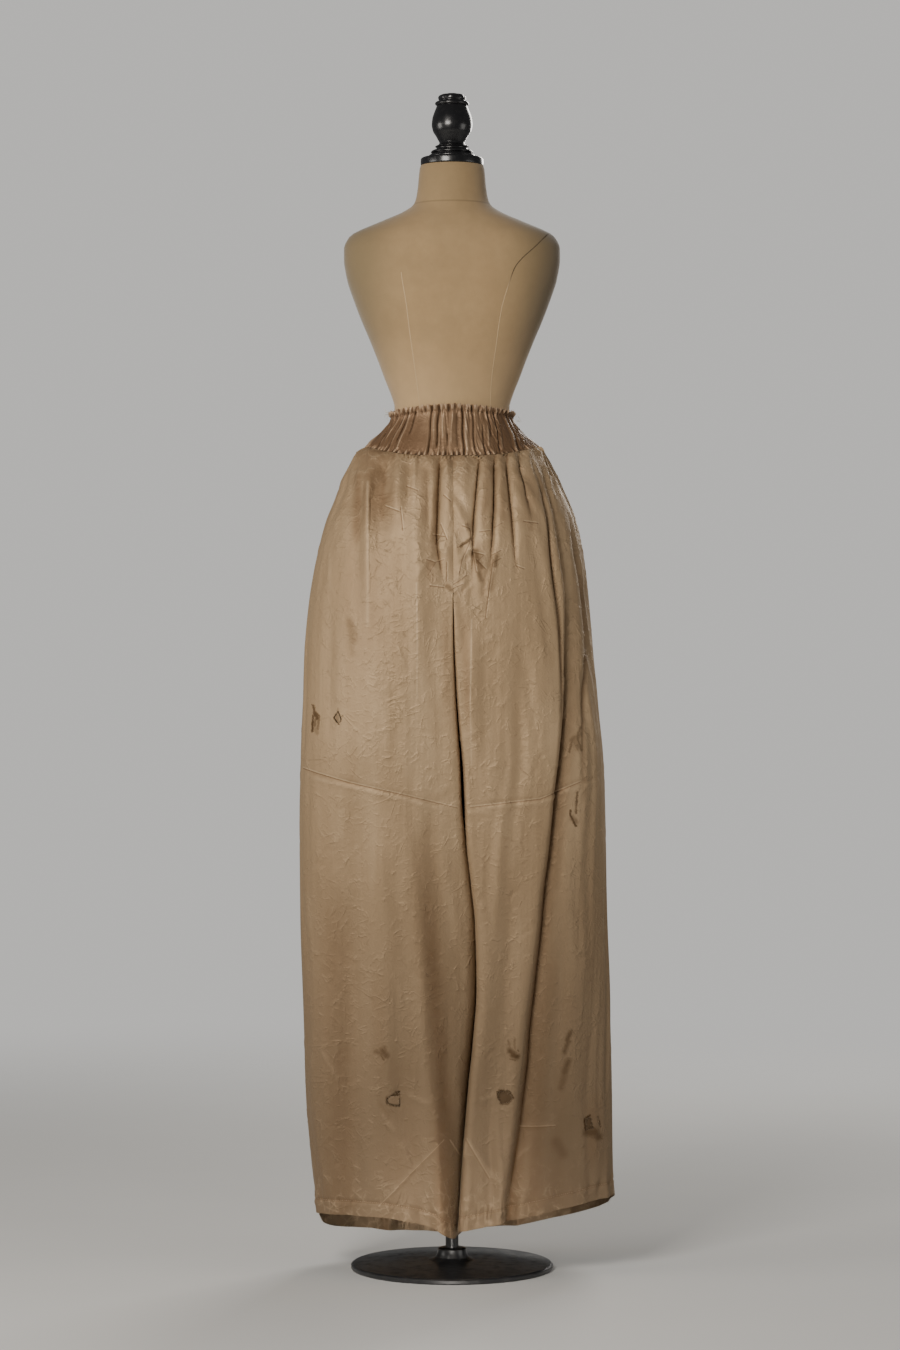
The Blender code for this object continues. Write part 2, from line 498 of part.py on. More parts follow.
def cut_rips(target, outlines):
    """Cuts each outline through the panel, straight back."""
    for number, outline in enumerate(outlines):
        count = len(outline)
        points = [(x, RIP_NEAR, z) for x, z in outline] + [(x, RIP_FAR, z) for x, z in outline]
        faces = [tuple(range(count)), tuple(reversed(range(count, 2 * count)))]
        faces += [(k, k + count, (k + 1) % count + count, (k + 1) % count) for k in range(count)]
        cutter = mesh_object(f"{target.name}_rip_{number}", points, faces, target.data.materials[0])
        area = sum(
            outline[k][0] * outline[(k + 1) % count][1] - outline[(k + 1) % count][0] * outline[k][1]
            for k in range(count)
        )
        if area < 0:
            cutter.data.flip_normals()
        cutter.hide_render = True
        cutter.display_type = "WIRE"
        cut = target.modifiers.new(f"rip_{number}", "BOOLEAN")
        cut.operation = "DIFFERENCE"
        cut.solver = "EXACT"
        cut.object = cutter


def band_wave(turn):
    """Uneven gathers round the waistband, from -1 to 1."""
    phase = BAND_GATHERS * turn + 1.1 * np.sin(3 * turn + 0.7) + 0.9 * np.sin(7 * turn + 2.1)
    return np.sin(phase) * (0.78 + 0.22 * np.sin(5 * turn + 1.0))


def waistband(finish):
    """The gathered casing: a ring that hugs the form at its top and flares to the waist seam."""
    turn = np.linspace(0.0, 2 * math.pi, BAND_COLUMNS, endpoint=False)
    wave = band_wave(turn)
    count = len(turn)
    outer, inner = [], []
    seam_x = np.where(np.cos(turn) < 0, BAND["left"][0], BAND["right"][0]) * np.cos(turn)
    low = np.where(np.sin(turn) < 0, seam_height(seam_x, FRONT), seam_height(seam_x, BACK))
    for rise, left, right, front, back, gather in zip(*BAND.values()):
        half_width = np.where(np.cos(turn) < 0, left, right)
        depth = np.where(np.sin(turn) < 0, front, back)
        x = half_width * np.cos(turn)
        y = depth * np.sin(turn)
        high = BAND_TOP_SIDE + (BAND_TOP_FRONT - BAND_TOP_SIDE) * np.sin(turn) ** 2
        ruffle = np.sin(BAND_GATHERS * RUFFLES_A_GATHER * turn)
        high = high + HEADING_RUFFLE * ruffle * rise**RUFFLE_ROWS
        z = low + (high - low) * rise
        away = np.column_stack([np.cos(turn) / half_width, np.sin(turn) / depth])
        away /= np.linalg.norm(away, axis=1, keepdims=True)
        bulge = gather * wave
        shown = np.column_stack([x, y]) + away * bulge[:, None]
        outer.append(np.column_stack([shown, z]))
        inner.append(np.column_stack([shown - away * BAND_WALL, z]))
    rows = len(outer)
    quads = []
    for row in range(rows - 1):
        for column in range(count):
            after = (column + 1) % count
            low_row, high_row = row * count, (row + 1) * count
            quads.append((low_row + column, low_row + after, high_row + after, high_row + column))
    return wall_object("waistband", np.vstack(outer), np.vstack(inner), np.array(quads), finish)


def form_ring(level):
    """One horizontal ring of the dress form, seen from above, anticlockwise."""
    turn = np.linspace(0.0, 2 * math.pi, FORM_SIDES, endpoint=False)
    power = 2.0 / FORM["roundness"][level]
    x = FORM["half_width"][level] * np.sign(np.cos(turn)) * np.abs(np.cos(turn)) ** power
    depth = np.where(np.sin(turn) < 0, FORM["front"][level], FORM["back"][level])
    y = depth * np.sign(np.sin(turn)) * np.abs(np.sin(turn)) ** power
    return np.column_stack([x, y, np.full(FORM_SIDES, FORM["height"][level])])


def lofted(name, rings, finish, sharp_angle=40.0):
    """A closed solid through rings that have the same number of points."""
    sides = len(rings[0])
    faces = [tuple(reversed(range(sides)))]
    for row in range(len(rings) - 1):
        for k in range(sides):
            after = (k + 1) % sides
            low_row, high_row = row * sides, (row + 1) * sides
            faces.append((low_row + k, low_row + after, high_row + after, high_row + k))
    faces.append(tuple(range((len(rings) - 1) * sides, len(rings) * sides)))
    return mesh_object(name, np.vstack(rings), faces, finish, sharp_angle)


def turned(name, profile, floor, sides, finish):
    """A turned solid on the z axis from (radius, height) points."""
    turn = np.linspace(0.0, 2 * math.pi, sides, endpoint=False)
    rings = [
        np.column_stack([radius * np.cos(turn), radius * np.sin(turn), np.full(sides, floor + height)])
        for radius, height in profile
    ]
    return lofted(name, rings, finish, sharp_angle=50.0)


def build():
    clear_scene()
    satin = material("champagne_satin", (0.45, 0.33, 0.215), 0.42)
    band_satin = material("brown_gathered_satin", (0.30, 0.19, 0.12), 0.45)
    jersey = material("form_jersey", (0.36, 0.26, 0.165), 0.85)
    lacquer = material("black_lacquer", (0.006, 0.006, 0.007), 0.12)
    iron = material("black_enamelled_iron", (0.012, 0.012, 0.013), 0.35, 0.6)
    for side_name, side in (("left", LEFT), ("right", RIGHT)):
        for face_name, face in (("front", FRONT), ("back", BACK)):
            name = f"{side_name}_{face_name}"
            made = panel(name, side, face, satin)
            cut_rips(made, RIPS.get(name, ()))
    waistband(band_satin)
    lofted("form_torso", [form_ring(level) for level in range(len(FORM["height"]))], jersey)
    neck_top = FORM["height"][-1]
    cap_floor = neck_top + SEAM_GAP
    finial_floor = cap_floor + CAP_PROFILE[-1][1] + SEAM_GAP
    turned("neck_cap", CAP_PROFILE, cap_floor, TURNED_SIDES, lacquer)
    turned("finial", FINIAL_PROFILE, finial_floor, TURNED_SIDES, lacquer)
    hub_top = BASE_PROFILE[-1][1]
    pole_length = FORM["height"][0] - hub_top - 2 * SEAM_GAP
    pole_profile = ((POLE_RADIUS, 0.0), (POLE_RADIUS, pole_length))
    turned("stand_pole", pole_profile, hub_top + SEAM_GAP, 20, iron)
    turned("stand_base", BASE_PROFILE, 0.0, BASE_SIDES, iron)


build()
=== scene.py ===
# %% [markdown]
# # Extra-long satin trousers on a dress form
#
# The trousers have a gathered elastic waist and two very wide legs of champagne-brown silk satin.
# They hang on a limbless form with a black turned finial, which stands on an iron pole and a round
# foot. The solids give every piece its true place. This script dresses them: it lays finer cloth,
# turned wood and cast iron over them and gives each surface its finish.

# %% Load the frame
import math

import bpy
import numpy as np
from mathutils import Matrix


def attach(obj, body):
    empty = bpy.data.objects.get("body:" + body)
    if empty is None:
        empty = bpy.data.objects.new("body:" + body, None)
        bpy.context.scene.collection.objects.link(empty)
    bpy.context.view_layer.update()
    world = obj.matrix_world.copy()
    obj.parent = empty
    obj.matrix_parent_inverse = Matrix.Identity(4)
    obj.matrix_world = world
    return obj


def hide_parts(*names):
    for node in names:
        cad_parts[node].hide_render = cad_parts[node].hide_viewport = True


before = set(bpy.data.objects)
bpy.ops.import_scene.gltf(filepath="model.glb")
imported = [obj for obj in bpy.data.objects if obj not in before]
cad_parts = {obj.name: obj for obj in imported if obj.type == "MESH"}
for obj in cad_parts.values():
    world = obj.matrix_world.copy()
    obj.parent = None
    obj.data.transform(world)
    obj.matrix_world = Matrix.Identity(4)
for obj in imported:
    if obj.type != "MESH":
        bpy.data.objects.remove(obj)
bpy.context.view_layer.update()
print("solids:", ", ".join(sorted(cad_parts)))

# %% [markdown]
# ## Camera and light
#
# The picture is taken from 6 m away at the height of the thighs, dead level, with a long lens, so
# there is next to no perspective. The main lamp stands high to the left in front, which is what makes
# satin glow on one side of each fold. A low narrow one reaches the cloth under the hems, one on each
# side keeps the edges readable, and one behind lights the back.

# %% Camera
CAMERA_AT = (-0.0034, -6.0, 1.008)
LENS_MM = 94.1
SENSOR_MM = 36.0


def add_camera():
    lens = bpy.data.cameras.new("studio_camera")
    lens.lens = LENS_MM
    lens.sensor_fit = "VERTICAL"
    lens.sensor_height = SENSOR_MM
    camera = bpy.data.objects.new("studio_camera", lens)
    camera.location = CAMERA_AT
    camera.rotation_euler = (math.pi / 2, 0.0, 0.0)
    bpy.context.scene.collection.objects.link(camera)
    bpy.context.scene.camera = camera
    return camera


add_camera()
print("frame height at the form:", round(SENSOR_MM / LENS_MM * -CAMERA_AT[1], 3), "m")

# %% Lamps and surround
LAMPS = (
    # name, place, aims at, size, spread in degrees, watts, colour
    ("key_softbox", (-1.05, -2.35, 2.05), (0.0, 0.0, 1.3), 1.0, 180, 66.0, (1.0, 0.95, 0.88)),
    ("low_softbox", (-0.05, -1.9, 0.1), (0.0, 0.1, 0.02), 0.16, 18, 0.28, (1.0, 0.95, 0.88)),
    ("left_softbox", (-3.2, -0.9, 1.5), (0.0, 0.0, 1.1), 1.4, 180, 36.0, (1.0, 0.96, 0.9)),
    ("side_softbox", (3.3, -1.3, 1.0), (0.0, 0.0, 0.7), 1.8, 180, 23.0, (1.0, 0.97, 0.92)),
    ("back_softbox", (1.6, 4.0, 2.8), (0.0, 0.0, 1.0), 2.0, 180, 125.0, (1.0, 0.965, 0.91)),
)
SURROUND_SEEN = (0.6, 0.59, 0.57, 1.0)
SURROUND_LIGHT = (0.13, 0.13, 0.13, 1.0)


def aim(thing, target):
    away = np.array(thing.location) - np.array(target)
    flat = math.hypot(away[0], away[1])
    thing.rotation_euler = (math.atan2(flat, away[2]), 0.0, math.atan2(away[0], -away[1]))


def add_lamp(name, place, target, size, spread, watts, colour):
    bulb = bpy.data.lights.new(name, "AREA")
    bulb.shape = "SQUARE"
    bulb.size = size
    bulb.spread = math.radians(spread)
    bulb.energy = watts
    bulb.color = colour
    lamp = bpy.data.objects.new(name, bulb)
    lamp.location = place
    aim(lamp, target)
    bpy.context.scene.collection.objects.link(lamp)


def add_surround():
    """A surround that looks pale but lights the cloth only a little, so its folds keep their shade."""
    surround = bpy.data.worlds.new("pale_surround")
    surround.use_nodes = True
    tree = surround.node_tree
    seen = tree.nodes.new("ShaderNodeLightPath").outputs["Is Camera Ray"]
    blend = tree.nodes.new("ShaderNodeMix")
    blend.data_type = "RGBA"
    tree.links.new(seen, blend.inputs[0])
    blend.inputs[6].default_value = SURROUND_LIGHT
    blend.inputs[7].default_value = SURROUND_SEEN
    tree.links.new(blend.outputs[2], tree.nodes["Background"].inputs["Color"])
    bpy.context.scene.world = surround


for lamp in LAMPS:
    add_lamp(*lamp)
add_surround()
print("lamps:", ", ".join(lamp[0] for lamp in LAMPS))

# %% [markdown]
# ## Small tools
#
# Cloth is easiest to describe with short tables, such as the half width at a few heights, and a smooth
# curve through them. The reader below never swings past its points, so a waist stays a waist. Long
# tables are in millimetres, the usual measure of a pattern, and metres() turns them into Blender's
# unit. Meshes come from numpy arrays, because one leg panel has tens of thousands of points.

# %% Curves through tables
def smooth_read(at, known, values):
    """Reads a table with a smooth curve that never swings past its points."""
    known = np.asarray(known, float)
    values = np.asarray(values, float)
    at = np.clip(np.asarray(at, float), known[0], known[-1])
    step = np.diff(known)
    rise = np.diff(values) / step
    slope = np.zeros_like(values)
    slope[0] = rise[0]
    slope[-1] = rise[-1]
    steady = rise[:-1] * rise[1:] > 0
    slope[1:-1][steady] = 2 * (rise[:-1] * rise[1:])[steady] / (rise[:-1] + rise[1:])[steady]
    cell = np.clip(np.searchsorted(known, at, side="right") - 1, 0, len(step) - 1)
    t = (at - known[cell]) / step[cell]
    return (
        values[cell] * (1 + 2 * t) * (1 - t) ** 2
        + values[cell + 1] * t**2 * (3 - 2 * t)
        + step[cell] * t * (1 - t) * (slope[cell] * (1 - t) - slope[cell + 1] * t)
    )


def metres(table):
    """Millimetres to metres, through any rows and named parts."""
    if isinstance(table, dict):
        return {name: metres(part) for name, part in table.items()}
    if isinstance(table, (int, float)):
        return round(table / 1000, 7)
    return tuple(metres(part) for part in table)


def course_at(height, course):
    """The x of a course at each height, and its lowest and highest point. It runs down, as x and height."""
    xs, heights = (np.array(values, float)[::-1] for values in zip(*course))
    return smooth_read(height, heights, xs), heights[0], heights[-1]


def ease(share):
    share = np.clip(share, 0.0, 1.0)
    return share * share * (3 - 2 * share)


def bump_shape(distance, reach):
    """1 at a fold's middle, dying out smoothly past its reach."""
    return np.exp(-((distance / reach) ** 2))


def ripple(at, seed, shortest, longest, count=7):
    """A wandering curve between about -1 and 1, made of waves of mixed lengths."""
    draw = np.random.default_rng(seed)
    lengths = np.exp(draw.uniform(math.log(shortest), math.log(longest), count))
    phases = draw.uniform(0, 2 * math.pi, count)
    waves = np.sin(2 * math.pi * np.asarray(at)[..., None] / lengths + phases)
    return waves.sum(axis=-1) / math.sqrt(count)


# %% Meshes from arrays
def mesh_piece(name, points, faces, sharp_angle=60.0):
    mesh = bpy.data.meshes.new(name)
    mesh.from_pydata(np.asarray(points, float).tolist(), [], [tuple(face) for face in faces])
    mesh.validate()
    mesh.shade_smooth()
    mesh.set_sharp_from_angle(angle=math.radians(sharp_angle))
    piece = bpy.data.objects.new(name, mesh)
    bpy.context.scene.collection.objects.link(piece)
    return piece


def unit(vectors):
    """The same directions at length 1."""
    return vectors / np.maximum(np.linalg.norm(vectors, axis=-1, keepdims=True), 1e-12)


def joined(parts):
    """Several sets of points and faces as one."""
    points, faces, first = [], [], 0
    for some_points, some_faces in parts:
        points.append(some_points)
        faces += [[int(corner) + first for corner in face] for face in some_faces]
        first += len(some_points)
    return np.vstack(points), faces


def quads_of(exists):
    """Quads between the grid points that exist."""
    number = np.full(exists.shape, -1)
    number[exists] = np.arange(exists.sum())
    corners = [number[:-1, :-1], number[:-1, 1:], number[1:, 1:], number[1:, :-1]]
    quads = np.stack(corners, axis=-1).reshape(-1, 4)
    return quads[(quads >= 0).all(axis=1)]


def point_normals(points, quads):
    """Area-weighted normals of a quad mesh."""
    corner = points[quads]
    area = np.cross(corner[:, 2] - corner[:, 0], corner[:, 3] - corner[:, 1])
    normals = np.zeros_like(points)
    for k in range(4):
        np.add.at(normals, quads[:, k], area)
    return unit(normals)


def mark_points(piece, marks):
    """Stores values on a piece's points, for its finish to read."""
    for label, values in marks.items():
        layer = piece.data.attributes.new(label, "FLOAT", "POINT")
        layer.data.foreach_set("value", np.asarray(values, np.float32))


def thin_shell(name, outer, inner, quads, sharp_angle=60.0):
    """A closed sheet of cloth between an outer and an inner skin."""
    count = len(outer)
    sides = np.stack([quads, np.roll(quads, -1, axis=1)], axis=-1).reshape(-1, 2)
    key = sides[:, 0].astype(np.int64) * count + sides[:, 1]
    back = sides[:, 1].astype(np.int64) * count + sides[:, 0]
    rim = sides[~np.isin(key, back)]
    wall = np.column_stack([rim[:, 1], rim[:, 0], rim[:, 0] + count, rim[:, 1] + count])
    faces = np.vstack([quads, quads[:, ::-1] + count, wall])
    piece = mesh_piece(name, np.vstack([outer, inner]), faces.tolist(), sharp_angle)
    skin = np.zeros(len(faces), np.int32)
    skin[len(quads): 2 * len(quads)] = 1  # the inner skin takes the second finish
    piece.data.polygons.foreach_set("material_index", skin)
    return piece


# %% [markdown]
# ## The form of the legs
#
# Each leg is two flat panels, sewn at the side seam and the inseam and gathered into the waist. The
# tables hold the cloth's half widths and half depths by the drop below the waist seam, the line where
# the two legs meet, and the hems. They are the same ones that the solids were made from, so the fine
# cloth lies on them everywhere.

# %% Sizes of the trousers
SEAM_GAP = 0.0003
LEFT, RIGHT = -1, 1
FRONT, BACK = -1, 1
BAND_TOP_FRONT = 1.462
BAND_TOP_SIDE = 1.452
SEAM_FRONT = 1.3745
SEAM_BACK = 1.388
SEAM_SIDE = 1.3956
CROTCH = 1.149
CROTCH_FALL = 0.034
CROTCH_ROWS = 0.18
HEM_MEAN = 0.085
EDGE_ROWS = 8
POLE_ROOM = 0.0205
LEAST_SWAY = 0.012
SWAY_REACH = 0.8
FRONT_CORNER = 0.45  # the inner corner is this much sharper in front
CLOTH = 0.0009  # the silk, a little thicker than real so that it renders cleanly

HANG = {
    "drop": (0.0, 0.006, 0.014, 0.024, 0.04, 0.056, 0.074, 0.093, 0.124, 0.167, 0.21,
             0.27, 0.345, 0.43, 0.53, 0.64, 0.77, 0.94, 1.11, 1.2, 1.3),
    "left": (0.145, 0.157, 0.163, 0.169, 0.178, 0.187, 0.193, 0.2, 0.213, 0.225, 0.234,
             0.242, 0.249, 0.253, 0.257, 0.258, 0.258, 0.253, 0.247, 0.24, 0.229),
    "right": (0.146, 0.152, 0.157, 0.164, 0.173, 0.182, 0.19, 0.199, 0.211, 0.221, 0.228,
              0.234, 0.24, 0.247, 0.257, 0.261, 0.263, 0.268, 0.272, 0.273, 0.276),
    "front": (0.118, 0.125, 0.131, 0.137, 0.145, 0.151, 0.156, 0.16, 0.166, 0.171, 0.174,
              0.176, 0.176, 0.174, 0.17, 0.164, 0.157, 0.148, 0.138, 0.132, 0.126),
    "back": (0.12, 0.127, 0.134, 0.141, 0.15, 0.158, 0.165, 0.171, 0.18, 0.187, 0.19,
             0.19, 0.187, 0.182, 0.175, 0.168, 0.16, 0.151, 0.142, 0.137, 0.132),
    "roundness": (2.0, 2.0, 2.02, 2.04, 2.08, 2.12, 2.16, 2.2, 2.26, 2.34, 2.42,
                  2.48, 2.5, 2.5, 2.5, 2.5, 2.5, 2.5, 2.5, 2.5, 2.5),
}
MEETING = {
    "height": (0.06, 0.154, 0.224, 0.329, 0.398, 0.486, 0.59, 0.66, 0.73, 0.803,
               0.85, 0.957, 1.066, 1.125, 1.149, 1.4),
    "x": (0.008, 0.013, 0.018, 0.027, 0.034, 0.04, 0.038, 0.031, 0.023, 0.018,
          0.016, 0.008, 0.003, 0.002, 0.0016, 0.0016),
    "gap": (0.003, 0.0022, 0.0022, 0.002, 0.002, 0.0024, 0.003, 0.0036, 0.0046, 0.006,
            0.0056, 0.003, 0.0016, 0.0007, 0.0003, 0.0003),
    "corner": (0.026, 0.028, 0.03, 0.032, 0.032, 0.032, 0.03, 0.028, 0.026, 0.024,
               0.022, 0.018, 0.01, 0.004, 0.0012, 0.0),
    "flat": (0.085, 0.085, 0.085, 0.085, 0.085, 0.085, 0.085, 0.085, 0.085, 0.084,
             0.083, 0.074, 0.05, 0.034, 0.028, 0.0),
    # how much of the gap stays open between the fine cloths, which touch in the middle of the legs
    "open": (0.7, 0.7, 0.7, 0.7, 0.65, 0.5, 0.15, 0.12, 0.25, 0.8,
             0.8, 0.6, 0.5, 0.5, 0.5, 0.5),
}
HEM = {
    (LEFT, FRONT): (
        (0.0, 0.099), (0.3, 0.103), (0.55, 0.105), (0.75, 0.098), (0.88, 0.087), (1.0, 0.067),
        (2.0, 0.064),
    ),
    (LEFT, BACK): ((0.0, 0.099), (0.15, 0.078), (0.3, 0.058), (0.6, 0.047), (1.0, 0.04), (2.0, 0.064)),
    (RIGHT, FRONT): ((0.0, 0.129), (0.25, 0.125), (0.5, 0.113), (0.75, 0.097), (1.0, 0.081), (2.0, 0.066)),
    (RIGHT, BACK): ((0.0, 0.129), (0.2, 0.1), (0.5, 0.068), (0.8, 0.05), (1.0, 0.046), (2.0, 0.066)),
}
print("leg length at the centre front:", round(SEAM_FRONT - HEM_MEAN, 3), "m")


# %% [markdown]
# A level cut through a leg is a rounded quarter on the outside and a nearly straight wall where the
# legs meet. Every point of a panel has a place on that cut: 0 at the side seam, 1 at the inner corner
# or centre seam, and 2 at the inseam. Reading the cut by its own length keeps the cloth from being
# stretched anywhere.

# %% A level cut through a leg
def seam_height(x, face):
    middle = SEAM_FRONT if face == FRONT else SEAM_BACK
    return middle + (SEAM_SIDE - middle) * np.minimum(np.abs(x) / HANG["left"][0], 1.0) ** 3


def along(xs, ys, share):
    """The point at this share of the length of each row's own curve."""
    steps = np.hypot(np.diff(xs, axis=1), np.diff(ys, axis=1))
    length = np.hstack([np.zeros((len(xs), 1)), np.cumsum(steps, axis=1)])
    target = np.clip(share, 0.0, 1.0) * length[:, -1]
    cell = np.clip((length <= target[:, None]).sum(axis=1) - 1, 0, steps.shape[1] - 1)
    row = np.arange(len(xs))
    part = np.clip((target - length[row, cell]) / np.maximum(steps[row, cell], 1e-12), 0.0, 1.0)
    return np.column_stack([
        xs[row, cell] + part * (xs[row, cell + 1] - xs[row, cell]),
        ys[row, cell] + part * (ys[row, cell + 1] - ys[row, cell]),
    ])


def cross_section(side, face, across, drop, height):
    """Points on the outside of the cloth before it is folded."""
    drop, height, across = (np.asarray(a, float).ravel() for a in (drop, height, across))
    width, depth, roundness = (
        smooth_read(drop, HANG["drop"], HANG[name])
        for name in ("left" if side == LEFT else "right", "front" if face == FRONT else "back", "roundness")
    )
    power = 2.0 / roundness
    line, gap, is_open, corner, flat = (
        smooth_read(height, MEETING["height"], MEETING[name])
        for name in ("x", "gap", "open", "corner", "flat")
    )
    inner = side * line + gap * is_open / 2
    corner = corner * (FRONT_CORNER if face == FRONT else 1.0)
    centre = inner + flat
    turn = np.linspace(0.0, math.pi / 2, 64)[None, :]
    quarter_x = centre[:, None] + (width - centre)[:, None] * np.cos(turn).clip(0) ** power[:, None]
    quarter_y = depth[:, None] * np.sin(turn).clip(0) ** power[:, None]
    half_arc = np.linspace(0.0, math.pi / 4, 8)[None, :]
    rest_arc = np.linspace(math.pi / 4, math.pi / 2, 8)[None, :]
    arc_x, rest_x = ((inner + corner)[:, None] - corner[:, None] * np.sin(a) for a in (half_arc, rest_arc))
    arc_y, rest_y = ((depth - corner)[:, None] + corner[:, None] * np.cos(a) for a in (half_arc, rest_arc))
    wall_y = (depth - corner)[:, None] * (1 - np.linspace(0.0, 1.0, 24)[None, :])
    room = np.maximum(POLE_ROOM - line, LEAST_SWAY)
    sway = ease(1 - wall_y / (SWAY_REACH * depth[:, None]))
    wall_x = inner[:, None] + side * room[:, None] * sway
    outer = along(np.hstack([quarter_x, arc_x]), np.hstack([quarter_y, arc_y]), across)
    inside = along(np.hstack([rest_x, wall_x]), np.hstack([rest_y, wall_y]), across - 1)
    local = np.where((across <= 1)[:, None], outer, inside)
    return np.column_stack([side * local[:, 0], face * local[:, 1], height])


# %% [markdown]
# ## Folds
#
# The largest folds start at the gathers and run down the legs. Each has its own depth, its reach to
# either side, and a course of a few points. Just below the band they are narrow and crisp. On the right
# leg two deep ones lie side by side, and the inner wall of the deeper one turns away from the lamp,
# which is the dark band in the picture. The columns of the cloth's grid follow these courses, so a fold
# stays crisp with few points.

# %% Courses of the large folds
FACE_COLUMNS = 20


def fold(depth, left, right, crisp, *places):
    """A fold in millimetres: depth, reach to the left and right, how crisp from 0 to 1, its course as x
    and height, and the columns of the grid that follow it, as number and offset in x."""
    course, *columns = places
    return {
        "depth": metres(depth), "reach": metres((left, right)), "crisp": crisp, "course": metres(course),
        "columns": [(number, metres(offset)) for number, offset in columns],
    }


FOLDS = {
    FRONT: (
        fold(13, 7, 12, 0.7, ((-20, 1374), (-23, 1298), (-25, 1232), (-18, 1182), (-6, 1130)), (18, 0)),
        fold(10, 5, 9, 0.8, ((48, 1374), (41, 1315), (35, 1248), (33, 1150)), (17.5, 0)),
        fold(12, 5, 10, 0.9, ((73, 1376), (71, 1298), (68, 1248), (62, 1160)), (15.6, 0)),
        fold(13, 5, 11, 0.9, ((92, 1372), (98, 1298), (102, 1248), (107, 1150)), (13.7, 0)),
        fold(7, 4, 8, 0.9, ((112, 1374), (121, 1330), (131, 1282), (140, 1220)), (12, 0)),
        fold(12, 5, 9, 0.7, ((133, 1372), (160, 1283), (169, 1185), (181, 1083), (184, 970), (180, 860)),
            (10.4, 0)),
        fold(21, 9, 24, 0.45, ((155, 1360), (181, 1270), (195, 1185), (200, 1137), (197, 970),
            (188, 884), (180, 826), (173, 768), (166, 710), (157, 652), (151, 594), (144, 536),
            (137, 478), (130, 420), (126, 362), (119, 304), (112, 245), (104, 188), (91, 100)), (9, 0)),
        fold(9, 7, 10, 0.6, ((182, 1330), (206, 1262), (218, 1200), (228, 1137), (231, 1061), (225, 970),
            (221, 870), (220, 760)), (5.5, 0)),
        fold(-6, 14, 14, 0, ((34, 1100), (33, 1060), (34, 960), (40, 800)), (18, 0)),
        fold(-6, 12, 14, 0, ((-136, 1350), (-138, 1300), (-139, 1200), (-140, 1080)), (9, 0)),
        fold(6, 14, 12, 0, ((-154, 1350), (-160, 1240), (-160, 1150), (-160, 1050)), (7, 0)),
        fold(7, 14, 14, 0, ((-117, 1372), (-119, 1300), (-119, 1190)), (11, 0)),
        fold(-5, 12, 12, 0, ((-88, 1364), (-90, 1320), (-92, 1260)), (13, 0)),
        fold(5, 10, 10, 0.2, ((-70, 1366), (-73, 1320), (-76, 1250)), (14, 0)),
        fold(-6, 13, 16, 0, ((-56, 1300), (-58, 1200), (-58, 1080), (-58, 950)), (16, 0)),
        fold(6, 10, 10, 0.2, ((-40, 1366), (-40, 1280), (-39, 1190)), (17, 0)),
        fold(-7, 30, 16, 0, ((-80, 800), (-53, 590), (-45, 486), (-38, 363), (-30, 294), (-22, 224),
            (-14, 80)), (16, 0), (17, 18)),
        fold(8, 30, 30, 0, ((-150, 900), (-158, 700), (-165, 500), (-168, 300), (-170, 100)), (10, 0)),
        fold(7, 22, 22, 0, ((100, 700), (84, 500), (68, 300), (60, 120)), (16, 0)),
    ),
    BACK: (
        fold(10, 10, 12, 0.5, ((-22, 1380), (-30, 1310), (-36, 1230), (-30, 1160)), (17, 0)),
        fold(9, 10, 9, 0.6, ((26, 1382), (32, 1300), (38, 1215), (34, 1150)), (17, 0)),
        fold(8, 9, 10, 0.6, ((-66, 1384), (-74, 1300), (-80, 1200), (-82, 1100)), (14, 0)),
        fold(20, 24, 14, 0, ((-108, 1380), (-128, 1320), (-142, 1240), (-152, 1120), (-158, 960),
            (-152, 760), (-140, 560), (-126, 360), (-112, 80)), (10, 0), (12, 22)),
        fold(8, 10, 10, 0.3, ((-166, 1340), (-190, 1260), (-206, 1140), (-214, 980), (-214, 800)),
            (6, 0)),
        fold(9, 10, 10, 0.6, ((66, 1384), (78, 1300), (86, 1210), (88, 1120)), (14, 0)),
        fold(18, 14, 26, 0, ((112, 1378), (134, 1310), (148, 1230), (160, 1100), (168, 940), (162, 740),
            (148, 540), (130, 340), (116, 100)), (11, 0), (13, -22)),
        fold(7, 10, 10, 0.3, ((174, 1330), (194, 1250), (208, 1140), (218, 990), (220, 860)), (6, 0)),
        fold(-8, 18, 18, 0, ((-52, 1050), (-60, 900), (-58, 640), (-46, 300), (-44, 80)), (16, 0)),
        fold(-8, 18, 18, 0, ((78, 1060), (82, 860), (88, 600), (80, 340), (72, 90)), (16, 0)),
    ),
}
FOLD_TOP_FADE = 0.22
FOLD_END_FADE = 0.55
FOLD_START = 0.35  # a fold that starts in the gathers is already this far in there
AT_WAIST = 0.02
AT_HEM = 0.15
SEAM_FLAT = 0.03
SIDE_FLAT = 0.1
CENTRE_FLAT = 0.06
COLUMN_FADE = 0.25
LEAST_COLUMN = 0.3
READ_STEPS = 121
print("large folds:", len(FOLDS[FRONT]), "in front,", len(FOLDS[BACK]), "behind")


# %% How deep the folds lie
CRISP_WIDTH = 0.32  # a crisp fold's sharp middle, as a share of its reach


def fold_depth(x, height, face):
    """How far the folds push the cloth in at each point."""
    total = np.zeros_like(x)
    for each in FOLDS[face]:
        middle, low, high = course_at(height, each["course"])
        start = FOLD_START if high > SEAM_FRONT - AT_WAIST else 0.0
        upper = ease((high - height) / (FOLD_TOP_FADE * (high - low)) + start)
        lower = 1.0 if low < AT_HEM else ease((height - low) / (FOLD_END_FADE * (high - low)))
        away = x - middle
        reach = np.where(away < 0, *each["reach"])
        soft = bump_shape(away, reach) * (1 - each["crisp"])
        sharp = np.exp(-np.abs(away) / (CRISP_WIDTH * reach)) * each["crisp"]
        total += each["depth"] * upper * lower * (soft + sharp)
    return total


